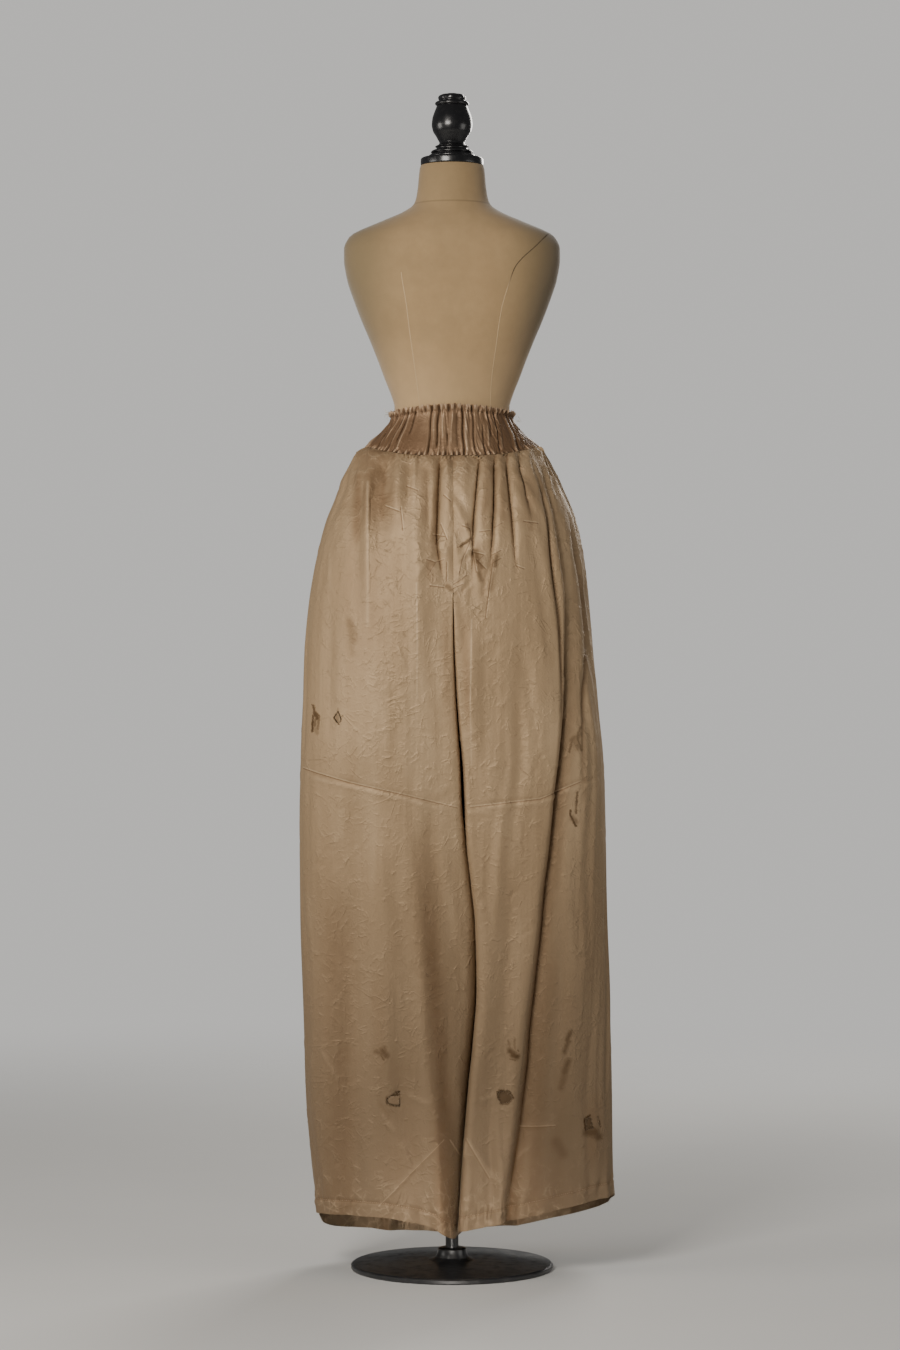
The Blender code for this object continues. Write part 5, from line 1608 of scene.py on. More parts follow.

# %% [markdown]
# ## Finishes
#
# Old silk satin is a soft mirror with a memory: it glows along every fold, its colour has yellowed
# unevenly, and it is covered in a net of fine crinkles. Those crinkles are too many to model one by one,
# so shared node groups draw them: one as thin ridges along warped cells, one as straight slanted hair
# creases. Other groups draw the weave, the soft blotches, whose long streaks are partly painted
# reflection, and the strokes of dirt and wear and of painted highlight and shade. Each group only puts
# out a height or a mask, and each material uses it with its own values.

# %% Nodes in one line each
def feed(tree, sockets, values):
    """Links or sets each named socket."""
    for name, value in values.items():
        if isinstance(value, bpy.types.NodeSocket):
            tree.links.new(value, sockets[name])
        else:
            sockets[name].default_value = value


def put(tree, kind, inputs=None, **settings):
    """Adds a node, sets it up and feeds its inputs."""
    node = tree.nodes.new(kind)
    for key, value in settings.items():
        setattr(node, key, value)
    feed(tree, node.inputs, inputs or {})
    return node


def calc(tree, operation, *values, clamp=False):
    inputs = dict(enumerate(values))
    return put(tree, "ShaderNodeMath", inputs, operation=operation, use_clamp=clamp).outputs[0]


def times(tree, first, second):
    return calc(tree, "MULTIPLY", first, second)


def plus(tree, first, second):
    return calc(tree, "ADD", first, second)


def minus(tree, first, second):
    return calc(tree, "SUBTRACT", first, second)


def apart(tree, value, middle):
    """How far a value is from a middle one."""
    return calc(tree, "ABSOLUTE", minus(tree, value, middle))


def weighed(tree, *parts, base=None):
    """The sum of values, each given with its weight."""
    total = base
    for value, weight in parts:
        part = times(tree, value, weight)
        total = part if total is None else plus(tree, total, part)
    return total


def vector_calc(tree, operation, *values, out="Vector"):
    return put(tree, "ShaderNodeVectorMath", dict(enumerate(values)), operation=operation).outputs[out]


def dot(tree, first, second):
    return vector_calc(tree, "DOT_PRODUCT", first, second, out="Value")


def scaled(tree, vector, scale):
    return put(tree, "ShaderNodeVectorMath", {0: vector, "Scale": scale}, operation="SCALE").outputs[0]


def parts_of(tree, vector):
    """The x, y and z of a vector."""
    return put(tree, "ShaderNodeSeparateXYZ", {0: vector}).outputs


def vector_of(tree, x, y, z):
    return put(tree, "ShaderNodeCombineXYZ", {0: x, 1: y, 2: z}).outputs[0]


def squeezed(tree, place, share):
    """A place with its height squeezed, which stretches a pattern along the warp."""
    return vector_calc(tree, "MULTIPLY", place, vector_of(tree, 1.0, 1.0, share))


def mixed(tree, factor, first, second):
    """A blend of two colours."""
    return put(tree, "ShaderNodeMix", {0: factor, 6: first, 7: second}, data_type="RGBA").outputs[2]


def tint(tree, colour, mask, share, over):
    """Lays a colour over another where a mask is, at a share of its strength."""
    return mixed(tree, times(tree, mask, share), colour, over)


def stepped(tree, value, low, high, first=0.0, last=1.0):
    """A smooth step from first to last as the value goes from low to high."""
    inputs = {0: value, 1: low, 2: high, 3: first, 4: last}
    return put(tree, "ShaderNodeMapRange", inputs, interpolation_type="SMOOTHSTEP").outputs[0]


def noise(tree, place, scale, detail=2.0, roughness=0.5, out="Fac"):
    inputs = {"Vector": place, "Scale": scale, "Detail": detail, "Roughness": roughness}
    return put(tree, "ShaderNodeTexNoise", inputs).outputs[out]


def crushed(tree, place, scale):
    """Sharp valleys between soft facets, as in crumpled silk."""
    return apart(tree, noise(tree, place, scale, 2.0, 0.55), 0.5)


def swirl(tree, place, scale, roughness, reach):
    """Noise as a shift in all three directions."""
    cloud = noise(tree, place, scale, 3.0, roughness, "Color")
    return scaled(tree, vector_calc(tree, "SUBTRACT", cloud, (0.5, 0.5, 0.5)), reach)


def covering(tree, cloud, cover, before, after, whole=1.0):
    """1 where noise passes what is left uncovered, with a soft edge before and after."""
    low = minus(tree, whole, cover)
    return stepped(tree, cloud, minus(tree, low, before), plus(tree, low, after))


ORIGIN = (0.0, 0.0, 0.0)


def new_group(name, result, inputs):
    """A node group that works at a place, with its own named values and one result."""
    group = bpy.data.node_groups.new(name, "ShaderNodeTree")
    for label, value in {"Place": ORIGIN, **inputs}.items():
        kind = "NodeSocketVector" if isinstance(value, tuple) else "NodeSocketFloat"
        group.interface.new_socket(label, in_out="INPUT", socket_type=kind).default_value = value
    group.interface.new_socket(result, in_out="OUTPUT", socket_type="NodeSocketFloat")
    return group, group.nodes.new("NodeGroupInput").outputs, group.nodes.new("NodeGroupOutput").inputs[0]


def use(tree, group, **values):
    """Places a group in a material. Its labels are given with _ for a space."""
    inputs = {label.replace("_", " "): value for label, value in values.items()}
    return put(tree, "ShaderNodeGroup", inputs, node_tree=group).outputs[0]


# %% Group: crinkles
def crinkle_group():
    """Thin ridges along the edges of warped cells, broken up in patches."""
    inputs = {"Cells": 30.0, "Warp": 0.02, "Line Width": 0.1, "Cover": 0.5}
    tree, given, result = new_group("silk_crinkles", "Height", inputs)
    place = given["Place"]
    warped = vector_calc(tree, "ADD", place, swirl(tree, place, 11.0, 0.55, given["Warp"]))
    cell = {"Vector": warped, "Scale": given["Cells"], "Randomness": 1.0}
    edge = put(tree, "ShaderNodeTexVoronoi", cell, feature="DISTANCE_TO_EDGE").outputs["Distance"]
    line = calc(tree, "EXPONENT", calc(tree, "DIVIDE", times(tree, edge, -1.0), given["Line Width"]))
    patch = noise(tree, vector_calc(tree, "ADD", place, (3.1, 1.7, 0.4)), 45.0, 3.0, 0.6)
    tree.links.new(times(tree, line, covering(tree, patch, given["Cover"], 0.08, 0.1)), result)
    return tree


# %% Group: hair creases
def hair_crease_group():
    """Thin, nearly straight lines at a slant, broken up in patches."""
    inputs = {"Along": (1.0, 0.5, 0.0), "Across": (0.0, 0.0, 1.0), "Seed": 0.0, "Cover": 0.3}
    tree, given, result = new_group("hair_creases", "Height", inputs)
    run, rise = (dot(tree, given["Place"], given[way]) for way in ("Along", "Across"))
    spot = vector_of(tree, times(tree, run, 9.0), given["Seed"], times(tree, rise, 38.0))
    line = calc(tree, "EXPONENT", times(tree, crushed(tree, spot, 1.0), -60.0))
    patch_spot = vector_calc(tree, "ADD", spot, (7.3, 2.0, 5.1))
    patch = noise(tree, vector_calc(tree, "MULTIPLY", patch_spot, (2.2, 1.0, 0.7)), 1.0, 2.0, 0.6)
    tree.links.new(times(tree, line, covering(tree, patch, given["Cover"], 0.22, -0.06)), result)
    return tree


# %% Groups: weave and soft blotches
def weave_group():
    """Short floats of thread, drawn out along the warp."""
    tree, given, result = new_group("silk_weave", "Height", {"Threads": 3000.0, "Float Length": 0.12})
    place = squeezed(tree, given["Place"], given["Float Length"])
    tree.links.new(noise(tree, place, given["Threads"], 1.0), result)
    return tree


def blotch_group():
    """Clouds with soft edges, as dust and wear leave them."""
    tree, given, result = new_group("soft_blotches", "Mask", {"Size": 8.0, "Stretch": 0.4, "Amount": 0.5})
    cloud = noise(tree, squeezed(tree, given["Place"], given["Stretch"]), given["Size"], 4.0, 0.55)
    tree.links.new(covering(tree, cloud, given["Amount"], 0.22, 0.22, whole=0.95), result)
    return tree


# %% Group: one stroke of dirt or wear
def stroke_group():
    """A line from start to end with soft edges."""
    inputs = {"Start": ORIGIN, "End": ORIGIN, "Half Width": 0.003, "Softness": 0.001, "Strength": 1.0}
    tree, given, result = new_group("wear_stroke", "Mask", inputs)
    line = vector_calc(tree, "SUBTRACT", given["End"], given["Start"])
    arm = vector_calc(tree, "SUBTRACT", given["Place"], given["Start"])
    share = calc(tree, "DIVIDE", dot(tree, arm, line), dot(tree, line, line), clamp=True)
    away = vector_calc(tree, "SUBTRACT", arm, scaled(tree, line, share))
    away = vector_calc(tree, "LENGTH", away, out="Value")
    edges = (calc(tree, kind, given["Half Width"], given["Softness"]) for kind in ("SUBTRACT", "ADD"))
    mask = minus(tree, 1.0, stepped(tree, away, *edges))
    tree.links.new(times(tree, mask, given["Strength"]), result)
    return tree


CRINKLES, HAIR, WEAVE = crinkle_group(), hair_crease_group(), weave_group()
BLOTCHES, STROKE = blotch_group(), stroke_group()
print("node groups:", ", ".join(group.name for group in (CRINKLES, HAIR, WEAVE, BLOTCHES, STROKE)))


# %% Groups in one line each, and a finish from its parts
def blotches(tree, place, size, stretch, amount):
    return use(tree, BLOTCHES, Place=place, Size=size, Stretch=stretch, Amount=amount)


def crinkles(tree, place, cells, warp, width, cover):
    return use(tree, CRINKLES, Place=place, Cells=cells, Warp=warp, Line_Width=width, Cover=cover)


def woven(tree, place, threads, length):
    return use(tree, WEAVE, Place=place, Threads=threads, Float_Length=length)


def new_material(name):
    made = bpy.data.materials.new(name)
    made.use_nodes = True
    return made, made.node_tree, put(made.node_tree, "ShaderNodeTexCoord").outputs["Object"]


def finished(made, colour, relief, plain, values):
    """Feeds a finish with its colour, relief in metres, plain colour for the viewport and other values."""
    tree = made.node_tree
    bump = put(tree, "ShaderNodeBump", {"Height": relief, "Distance": 1.0}).outputs[0]
    feed(tree, tree.nodes["Principled BSDF"].inputs, {"Base Color": colour, "Normal": bump, **values})
    made.diffuse_color = plain
    return made


# %% [markdown]
# ### Satin of the legs
#
# The silk is a light coat of shine over a warm champagne ground. Time has left marks on it: brown worn
# patches, soft stains, hair cracks and dirty streaks. They are drawn as strokes in the plane of the
# front, each with a start, an end, a width and a softness, and their edges are roughened by noise. A
# fold's ridge gets a painted highlight as a light stroke, and a sharp fine crease a painted highlight
# and a painted shade side by side. Crackle shows where the cloth is held: at the seams, the crotch and
# the hems, and its lines carry a painted highlight.

# %% Marks on the front panels
MARKS = {
    # in mm: start x and height, end x and height, half width, softness; then strength
    "leg_left_front": (
        (-231.5, 956, -228.5, 940, 2.2, 1.6, 0.8), (-234.5, 958.5, -231, 954, 1.2, 1, 0.75),
        (-229, 944, -225, 936, 3.6, 2.2, 0.85), (-225.5, 944, -222, 940, 1.6, 1.2, 0.8),
        (-232.5, 940, -233.5, 914, 1.8, 1.2, 0.9), (-228, 933, -230, 924, 3, 2.2, 0.65),
        (-221.5, 938, -224.5, 918, 2, 1.6, 0.6), (-230, 920, -225, 912, 4, 3, 0.35),
        (-189.5, 948, -196.2, 937.2, 1, 0.8, 0.9), (-196.2, 937.2, -188, 926.5, 1, 0.8, 0.9),
        (-189.5, 948, -184.2, 935.2, 1, 0.8, 0.8), (-184.2, 935.2, -186, 930, 1, 0.8, 0.7),
        (-191.5, 940, -189, 931, 3, 2.4, 0.4), (-189.5, 952, -189, 948, 1.6, 1.6, 0.35),
        (-183, 939.2, -180.8, 941, 0.8, 0.6, 0.7), (-126, 383, -115, 379, 4, 4.5, 0.5),
        (-116, 385, -109, 377, 5, 4.5, 0.6), (-112, 390, -111, 376, 3.4, 3.6, 0.45),
        (-117.5, 376, -113, 370, 1.2, 1.2, 0.6), (-108, 306, -108, 296, 1.8, 1.6, 0.55),
        (-103, 293, -88, 292, 1.6, 1.6, 0.55), (-102, 309, -87, 316.5, 1.4, 1.2, 0.5),
        (-87.2, 315, -87.2, 293, 1, 1, 0.45), (-170, 1098, -164, 1064, 5, 6, 0.34),
        (-8, 1154, -3, 1150, 4, 3.6, 0.46), (-36, 1196, -30, 1190, 3.4, 3.4, 0.3),
        (-168, 1064, -165, 1043, 4, 5, 0.18),
    ),
    "leg_right_front": (
        (214, 921, 208, 904, 2, 1.8, 0.5), (199, 900, 212, 908, 4, 3.4, 0.46),
        (208, 906, 215, 883, 2.4, 2, 0.55), (200, 900, 195, 880, 2, 1.6, 0.5),
        (206, 902, 210, 888, 6, 5, 0.4), (197, 783, 196.5, 775, 1.6, 1.2, 0.8),
        (196.5, 775, 206, 757, 2, 1.4, 0.8), (208.5, 813, 206, 778, 1.6, 1.4, 0.65),
        (200, 770, 206, 764, 4, 3.6, 0.45), (96, 384, 107, 374, 4.6, 4.6, 0.76),
        (101, 377, 108, 375, 4.4, 3.6, 0.8), (93, 401, 98, 386, 1.6, 2, 0.4),
        (104, 406, 104, 386, 1.4, 1.8, 0.36), (96, 370, 105, 369, 1.2, 1, 0.6),
        (109, 385, 110, 384, 1.2, 1, 0.7), (75, 315, 76.5, 304, 1.4, 1.2, 0.8),
        (78, 317.5, 95, 316.5, 1.2, 1.2, 0.75), (96, 316, 102, 305, 1.4, 1.2, 0.85),
        (101, 304, 94, 296, 1.2, 1.2, 0.8), (93, 295.5, 80, 295, 1.4, 1.4, 0.6),
        (222.5, 262, 224, 244, 1.8, 1.4, 0.85), (226, 265, 232, 268, 1.4, 1.2, 0.85),
        (246, 264, 250, 247, 1.2, 1, 0.75), (227, 240, 240, 238, 7, 5, 0.6),
        (238, 242, 247, 230, 6, 5, 0.55), (247, 230, 253, 226, 1.6, 1.4, 0.6),
        (38, 1211, 43, 1195, 4.6, 4, 0.66), (43, 1198, 50, 1186, 3.4, 3.4, 0.54),
        (30, 1233, 14, 1221, 2.4, 2.6, 0.7), (25, 1256, 28, 1249, 3.6, 3, 0.56),
        (74, 1205, 71, 1188, 3.8, 3.4, 0.66), (44, 1176, 48, 1164, 3, 3.2, 0.46),
        (68, 1190, 64, 1150, 4, 4.6, 0.36), (198, 412, 192, 398, 3.6, 3.2, 0.58),
        (194, 396, 188, 379, 3.6, 3.4, 0.52), (194, 362, 188, 344, 5, 4.4, 0.48),
        (188, 340, 182, 318, 4.6, 4.6, 0.34), (174, 228, 186, 206, 7, 7, 0.3),
    ),
    "leg_left_back": (
        (-140, 820, -134, 796, 4, 4, 0.55), (-136, 796, -138, 782, 2.6, 2, 0.6),
        (-90, 330, -84, 316, 5, 4.4, 0.5),
    ),
    "leg_right_back": (
        (110, 540, 118, 528, 4.4, 4.4, 0.5), (160, 900, 156, 872, 3, 2.6, 0.55),
        (80, 270, 90, 264, 5, 4.4, 0.5),
    ),
}
HIGHLIGHT_MARKS = {
    # painted highlights along the ridges of folds and creases, in the same form
    "leg_left_front": (
        (-58.5, 1160, -57.5, 1060, 1.1, 1.2, 0.5), (-57.5, 1060, -58, 970, 1, 1.2, 0.35),
        (-141, 1330, -139.5, 1200, 2.2, 2.4, 0.3), (-139.5, 1200, -140, 1090, 2.2, 2.4, 0.24),
        (-250, 853, -169, 831, 0.9, 0.8, 0.45), (-169, 831, -86, 813, 0.9, 0.8, 0.4),
        (-86, 813, 9, 790, 0.9, 0.8, 0.35), (-13.4, 235.6, -84, 163, 0.8, 0.7, 0.26),
        (-84, 163, -122.8, 122.9, 0.8, 0.7, 0.22), (-3.4, 234, 13.2, 207, 1, 1, 0.32),
    ),
    "leg_right_front": (
        (32.5, 1100, 30, 960, 1, 1.1, 0.45), (30, 960, 32, 860, 1, 1.1, 0.25),
        (30, 791, 146, 804.5, 0.9, 0.8, 0.4), (146, 804.5, 214, 832, 0.9, 0.8, 0.4),
        (24.8, 237.3, 62.9, 171, 0.8, 0.8, 0.16), (112.6, 255.6, 172.3, 256, 0.8, 0.8, 0.26),
    ),
}
CROSS_CREASES = {
    # painted shade on the dark side of the old cross crease and of the long diagonal ones, in the same form
    "leg_left_front": (
        (-250, 851, -169, 829, 0.7, 0.7, 0.75), (-169, 829, -86, 811, 0.6, 0.7, 0.7),
        (-86, 811, 9, 788, 0.6, 0.7, 0.6), (-17.4, 230.6, -88, 158, 0.6, 0.7, 0.55),
    ),
    "leg_right_front": (
        (30, 789, 146, 802.5, 0.6, 0.7, 0.6), (146, 802.5, 214, 830, 0.6, 0.7, 0.6),
        (112.6, 253.5, 172.3, 253.8, 0.6, 0.7, 0.55), (23, 235, 61, 169, 0.6, 0.7, 0.55),
    ),
}
FINE_CREASES = {
    # hair-thin creases around the crotch, painted as a highlight and a shade side by side;
    # in mm: start x and height, end x and height
    "leg_left_front": (
        (-110.5, 1288.9, -84.8, 1278.7), (-84.8, 1286.4, -80.8, 1248), (-18.3, 1258.3, -8.1, 1232.7),
        (-31.1, 1240.4, -10.7, 1237.7), (-13.4, 1248, -26, 1225.1), (-36.2, 1156, -13.4, 1153.3),
        (-41.5, 1199.4, -26, 1194.3), (-26, 1194.3, -38.9, 1173.7), (-28.6, 1194.3, -13.4, 1199.4),
        (-8.1, 1194.3, -8.1, 1163.8), (-74.7, 1322.2, -56.8, 1314.6), (-13.4, 1306.8, -2.1, 1296.6),
    ),
    "leg_right_front": (
        (17.5, 1255.6, 30.2, 1250.6), (30.2, 1250.6, 32.9, 1230.1), (30.2, 1230.1, 9.8, 1219.8),
        (30.2, 1227.6, 17.5, 1199.4), (17.5, 1199.4, 12.3, 1173.7), (32.9, 1212.2, 53.3, 1207.1),
        (53.3, 1207.1, 43, 1196.9), (35.4, 1209.7, 40.5, 1178.9), (40.5, 1199.4, 55.7, 1184),
        (45.6, 1245.5, 63.5, 1248), (71.2, 1253.2, 83.9, 1260.8), (66, 1207, 81.4, 1214.8),
        (81.4, 1201.9, 68.7, 1194.3), (68.7, 1199.4, 60.9, 1143), (60.9, 1143, 55.7, 1102.4),
        (-3.1, 1156, 12.3, 1163.8), (12.3, 1163.8, 25.1, 1173.7), (0, 1150.5, 17.5, 1158.5),
        (119.7, 1263.4, 142.8, 1260.8), (107, 1189.2, 119.7, 1184),
    ),
}
FINE_LINE = {"aside": 0.7, "half_width": 0.9, "softness": 0.7, "light": 0.5, "dark": 0.66}


def beside(lines, aside, strength):
    """Thin strokes along creases, moved a little to one side."""
    look = FINE_LINE["half_width"], FINE_LINE["softness"], strength
    return tuple((*(end + aside for end in line), *look) for line in lines)


for name, lines in FINE_CREASES.items():
    HIGHLIGHT_MARKS[name] += beside(lines, FINE_LINE["aside"], FINE_LINE["light"])
    CROSS_CREASES[name] += beside(lines, -FINE_LINE["aside"], FINE_LINE["dark"])
print("fine creases:", {name: len(lines) for name, lines in FINE_CREASES.items()})

# %% Satin
GOLD_SATIN = (0.46, 0.33, 0.2, 1.0)
DULL_SATIN = (0.33, 0.228, 0.132, 1.0)
DARKER_LOW_SATIN = (0.19, 0.134, 0.083, 1.0)
# a light satin colour for painted highlight on ridges, crinkles and light strokes
HIGHLIGHT_SATIN = (0.6, 0.45, 0.29, 1.0)
# a dark brown for painted shade in the bands, crease troughs, dark crease strokes and the hem's stitch line;
# beside the gathers partly browning
SHADE_AND_BROWNING_SATIN = (0.14, 0.08, 0.04, 1.0)
# the reverse's pale colour is partly painted light, for the back cloth seen under the front hems
INSIDE_SATIN = (0.84, 0.65, 0.44, 1.0)
WORN_BROWN = (0.07, 0.036, 0.014, 1.0)
SHEEN_TINT = (1.0, 0.82, 0.6, 1.0)
SATIN_WEAVE = (2600.0, 0.1)  # threads to the metre, float length
WEAVE_LIFT = 0.00003
STAIN_RAGGED = 0.006  # how far noise moves the edge of a stroke
CREASE_RAGGED = 0.0012
NUDGE = 1e-9
CENTRE_FRONT = 0.016  # x of the crotch
BLOTCH = {
    # size, stretch, amount; share of the dull colour
    "broad": ((7.0, 0.45, 0.45), 0.75), "small": ((42.0, 0.6, 0.38), 0.3),
    # the streaks are partly painted reflection, the long bands of the satin's sheen, and partly uneven
    # colour
    "streaks": ((34.0, 0.07, 0.45), 0.7),
}
CRINKLE = {
    # cells to the metre, warp, line width, cover
    "big": (22.0, 0.07, 0.03, 0.44), "fine": (60.0, 0.05, 0.09, 0.48),
}
HAIR_LINES = (
    # along the line, across it, cover
    ((0.94, 0.4, 0.34), (-0.34, -0.14, 0.94), 0.24),
    ((0.64, 0.3, -0.77), (0.77, 0.36, 0.64), 0.24),
    ((0.36, 0.2, 0.93), (0.93, 0.44, -0.36), 0.24),
)


def strokes(tree, place, marks, ragged):
    """All strokes of one kind on one panel, as one mask."""
    x, _, z = parts_of(tree, vector_calc(tree, "ADD", place, swirl(tree, place, 210.0, 0.65, ragged)))
    spot = vector_of(tree, x, 0.0, z)
    total = None
    for *lengths, strength in marks:
        x, z, end_x, end_z, half_width, softness = metres(lengths)
        mask = use(tree, STROKE, Place=spot, Start=(x, 0.0, z), End=(end_x, 0.0, end_z),
                   Half_Width=half_width, Softness=softness, Strength=strength)
        total = mask if total is None else calc(tree, "MAXIMUM", total, mask)
        # a billionth of the mask moves the next spot: the renderer then works out one stroke at a time
        spot = vector_calc(tree, "ADD", spot, times(tree, total, NUDGE))
    return total


def point_mark(tree, label):
    """A value stored on the points of the cloth."""
    return put(tree, "ShaderNodeAttribute", attribute_name=label).outputs["Fac"]


def hair_lines(tree, place):
    hairs = None
    for number, (line, across, cover) in enumerate(HAIR_LINES):
        one = use(tree, HAIR, Place=place, Along=line, Across=across, Seed=3.0 * number, Cover=cover)
        hairs = one if hairs is None else calc(tree, "MAXIMUM", hairs, one)
    return hairs


def crackle_cover(tree, x, height):
    """1 where the cloth is held and crackles: at the crotch, the waist seam and the hems."""
    crotch = stepped(tree, apart(tree, x, CENTRE_FRONT), 0.016, 0.05, 1.0, 0.0)
    crotch = times(tree, crotch, stepped(tree, height, 1.1, 1.16))
    waist = stepped(tree, height, 1.3, 1.37, 0.0, 0.8)
    hem = stepped(tree, height, 0.1, 0.2, 0.8, 0.0)
    return calc(tree, "MAXIMUM", crotch, calc(tree, "MAXIMUM", waist, hem))


def leg_satin(name, marks, highlights=(), creased=()):
    made, tree, place = new_material(name)
    clouds = {label: blotches(tree, place, *look) for label, (look, _) in BLOTCH.items()}
    x, _, height = parts_of(tree, place)
    colour = GOLD_SATIN
    for label, (_, share) in BLOTCH.items():
        colour = tint(tree, colour, clouds[label], share, DULL_SATIN)
    # the satin is darker towards the hem
    colour = mixed(tree, stepped(tree, height, 0.08, 1.0, 0.9, 0.0), colour, DARKER_LOW_SATIN)
    cloudy = weighed(tree, (noise(tree, place, 60.0, 4.0, 0.6), 0.9), base=0.55)
    # painted shade along the folds, the inner edges and the planes turned from the lamp, with some browning
    # of the silk beside the gathers
    colour = tint(tree, colour, point_mark(tree, "shade_and_browning"), cloudy, SHADE_AND_BROWNING_SATIN)
    big, fine = (crinkles(tree, place, *look) for look in CRINKLE.values())
    hairs = hair_lines(tree, place)
    # painted highlight on the ridges of creases and big crinkles, painted shade in the creases' troughs
    crease = point_mark(tree, "crease")
    ridges = weighed(tree, (calc(tree, "MAXIMUM", crease, 0.0), 0.14), (big, 0.08))
    colour = mixed(tree, ridges, colour, HIGHLIGHT_SATIN)
    troughs = calc(tree, "MAXIMUM", times(tree, crease, -1.0), 0.0)
    colour = tint(tree, colour, troughs, 0.3, SHADE_AND_BROWNING_SATIN)
    # painted highlight on the fine crinkles where the cloth crackles
    colour = tint(tree, colour, times(tree, crackle_cover(tree, x, height), fine), 0.3, HIGHLIGHT_SATIN)
    # painted shade along the pinched stitch line of the hem
    to_stitch = apart(tree, point_mark(tree, "above_hem"), HEM_DEPTH)
    colour = mixed(tree, stepped(tree, to_stitch, 0.0006, 0.0034, 0.34, 0.0), colour, SHADE_AND_BROWNING_SATIN)
    # painted highlight strokes along ridges, and painted shade strokes on the dark side of creases
    if highlights:
        colour = mixed(tree, strokes(tree, place, highlights, CREASE_RAGGED), colour, HIGHLIGHT_SATIN)
        colour = mixed(tree, strokes(tree, place, creased, CREASE_RAGGED), colour, SHADE_AND_BROWNING_SATIN)
    worn = strokes(tree, place, marks, STAIN_RAGGED)
    relief = weighed(
        tree, (big, 0.0008), (fine, 0.0006), (hairs, 0.0008), (crushed(tree, place, 55.0), 0.0006),
        (crushed(tree, place, 170.0), 0.0007), (noise(tree, squeezed(tree, place, 0.05), 60.0), 0.0016),
        (woven(tree, place, *SATIN_WEAVE), WEAVE_LIFT),
    )
    return finished(made, mixed(tree, worn, colour, WORN_BROWN), relief, GOLD_SATIN, {
        "Roughness": weighed(tree, (clouds["broad"], 0.07), (worn, 0.3), base=0.55), "Metallic": 0.32,
        "Specular IOR Level": 0.1, "Sheen Weight": 0.04, "Sheen Roughness": 0.35, "Sheen Tint": SHEEN_TINT,
    })


def reverse_of_satin():
    """The dull reverse of the satin, seen inside the legs, paled in part as painted light."""
    made, tree, place = new_material("satin_reverse")
    colour = mixed(tree, blotches(tree, place, 20.0, 0.5, 0.4), INSIDE_SATIN, GOLD_SATIN)
    relief = times(tree, crushed(tree, place, 60.0), 0.002)
    return finished(made, colour, relief, INSIDE_SATIN, {"Roughness": 0.75})


reverse = reverse_of_satin()
for name, piece in panels.items():
    piece.data.materials.clear()
    drawn = HIGHLIGHT_MARKS.get(name, ()), CROSS_CREASES.get(name, ())
    piece.data.materials.append(leg_satin(f"{name}_satin", MARKS[name], *drawn))
    piece.data.materials.append(reverse)
print("marks:", {name: len(marks) for name, marks in MARKS.items()})

# %% Satin of the waistband and the threads
# the light colour is painted highlight, the deepest painted shade; the dark one is darker patches and
# painted shade at the sides
BAND_MIDDLE = (0.34, 0.222, 0.13, 1.0)
BAND_DARK = (0.15, 0.086, 0.046, 1.0)
BAND_LIGHT = (0.56, 0.4, 0.26, 1.0)
BAND_DEEP = (0.05, 0.025, 0.011, 1.0)


def band_satin():
    made, tree, place = new_material("waistband_satin")
    broad = blotches(tree, place, 22.0, 0.35, 0.5)
    colour = tint(tree, BAND_MIDDLE, broad, 0.8, BAND_DARK)
    # painted shade towards the band's sides
    aside = calc(tree, "ABSOLUTE", parts_of(tree, place)[0])
    colour = mixed(tree, stepped(tree, aside, 0.035, 0.085, 0.0, 0.88), colour, BAND_DARK)
    # painted highlight on the gathers' ridges and top edge, painted shade in their grooves
    gather_light_and_shade = point_mark(tree, "gather_light_and_shade")
    colour = mixed(tree, stepped(tree, gather_light_and_shade, 0.2, 1.0, 0.0, 0.6), colour, BAND_LIGHT)
    colour = mixed(tree, stepped(tree, gather_light_and_shade, -0.95, -0.15, 0.84, 0.0), colour, BAND_DEEP)
    relief = weighed(
        tree, (crinkles(tree, place, 80.0, 0.02, 0.09, 0.5), 0.0004),
        (woven(tree, place, *SATIN_WEAVE), WEAVE_LIFT), (crushed(tree, place, 120.0), 0.001),
    )
    return finished(made, colour, relief, BAND_MIDDLE, {
        "Roughness": weighed(tree, (broad, 0.08), base=0.44), "Metallic": 0.35, "Specular IOR Level": 0.2,
        "Sheen Weight": 0.06, "Sheen Roughness": 0.35,
    })


TWIST_SHADE = 0.7  # how much darker the hollows of a thread's twist are


def thread(name, colour, roughness=0.55):
    """Twisted thread, with its twist as a fine relief."""
    made, tree, place = new_material(name)
    twist = noise(tree, place, 2500.0, 1.0)
    light, dark = (*colour, 1.0), (*(part * TWIST_SHADE for part in colour), 1.0)
    relief = times(tree, twist, 0.00005)
    return finished(made, mixed(tree, twist, light, dark), relief, light, {"Roughness": roughness})


band.data.materials.append(band_satin())
for piece, name, *look in (
    (hem_thread, "hem_thread", (0.46, 0.35, 0.235)),
    (band_thread, "waistband_thread", (0.27, 0.17, 0.105)),
    (frayed_threads, "frayed_silk", (0.4, 0.29, 0.18)),
    (heading_threads, "frayed_heading_silk", (0.34, 0.22, 0.135)),
    (loose_ends, "white_basting_thread", (0.74, 0.71, 0.64)),
    (torn, "torn_silk", (0.098, 0.055, 0.02), 0.8),
):
    piece.data.materials.append(thread(name, *look))

# %% [markdown]
# ### Jersey, lacquer and iron
#
# The form's jersey is matt and a little mottled where hands and dust have darkened it. It is darker
# towards its edges and on its right, which is painted shade, lighter at the waist, which is painted
# light, and darker towards the shoulders and neck. Its knit shows as fine vertical wales. The black
# lacquer is a smooth gloss with a trace of dust, and the enamelled iron has the soft orange-peel skin
# of poured enamel.

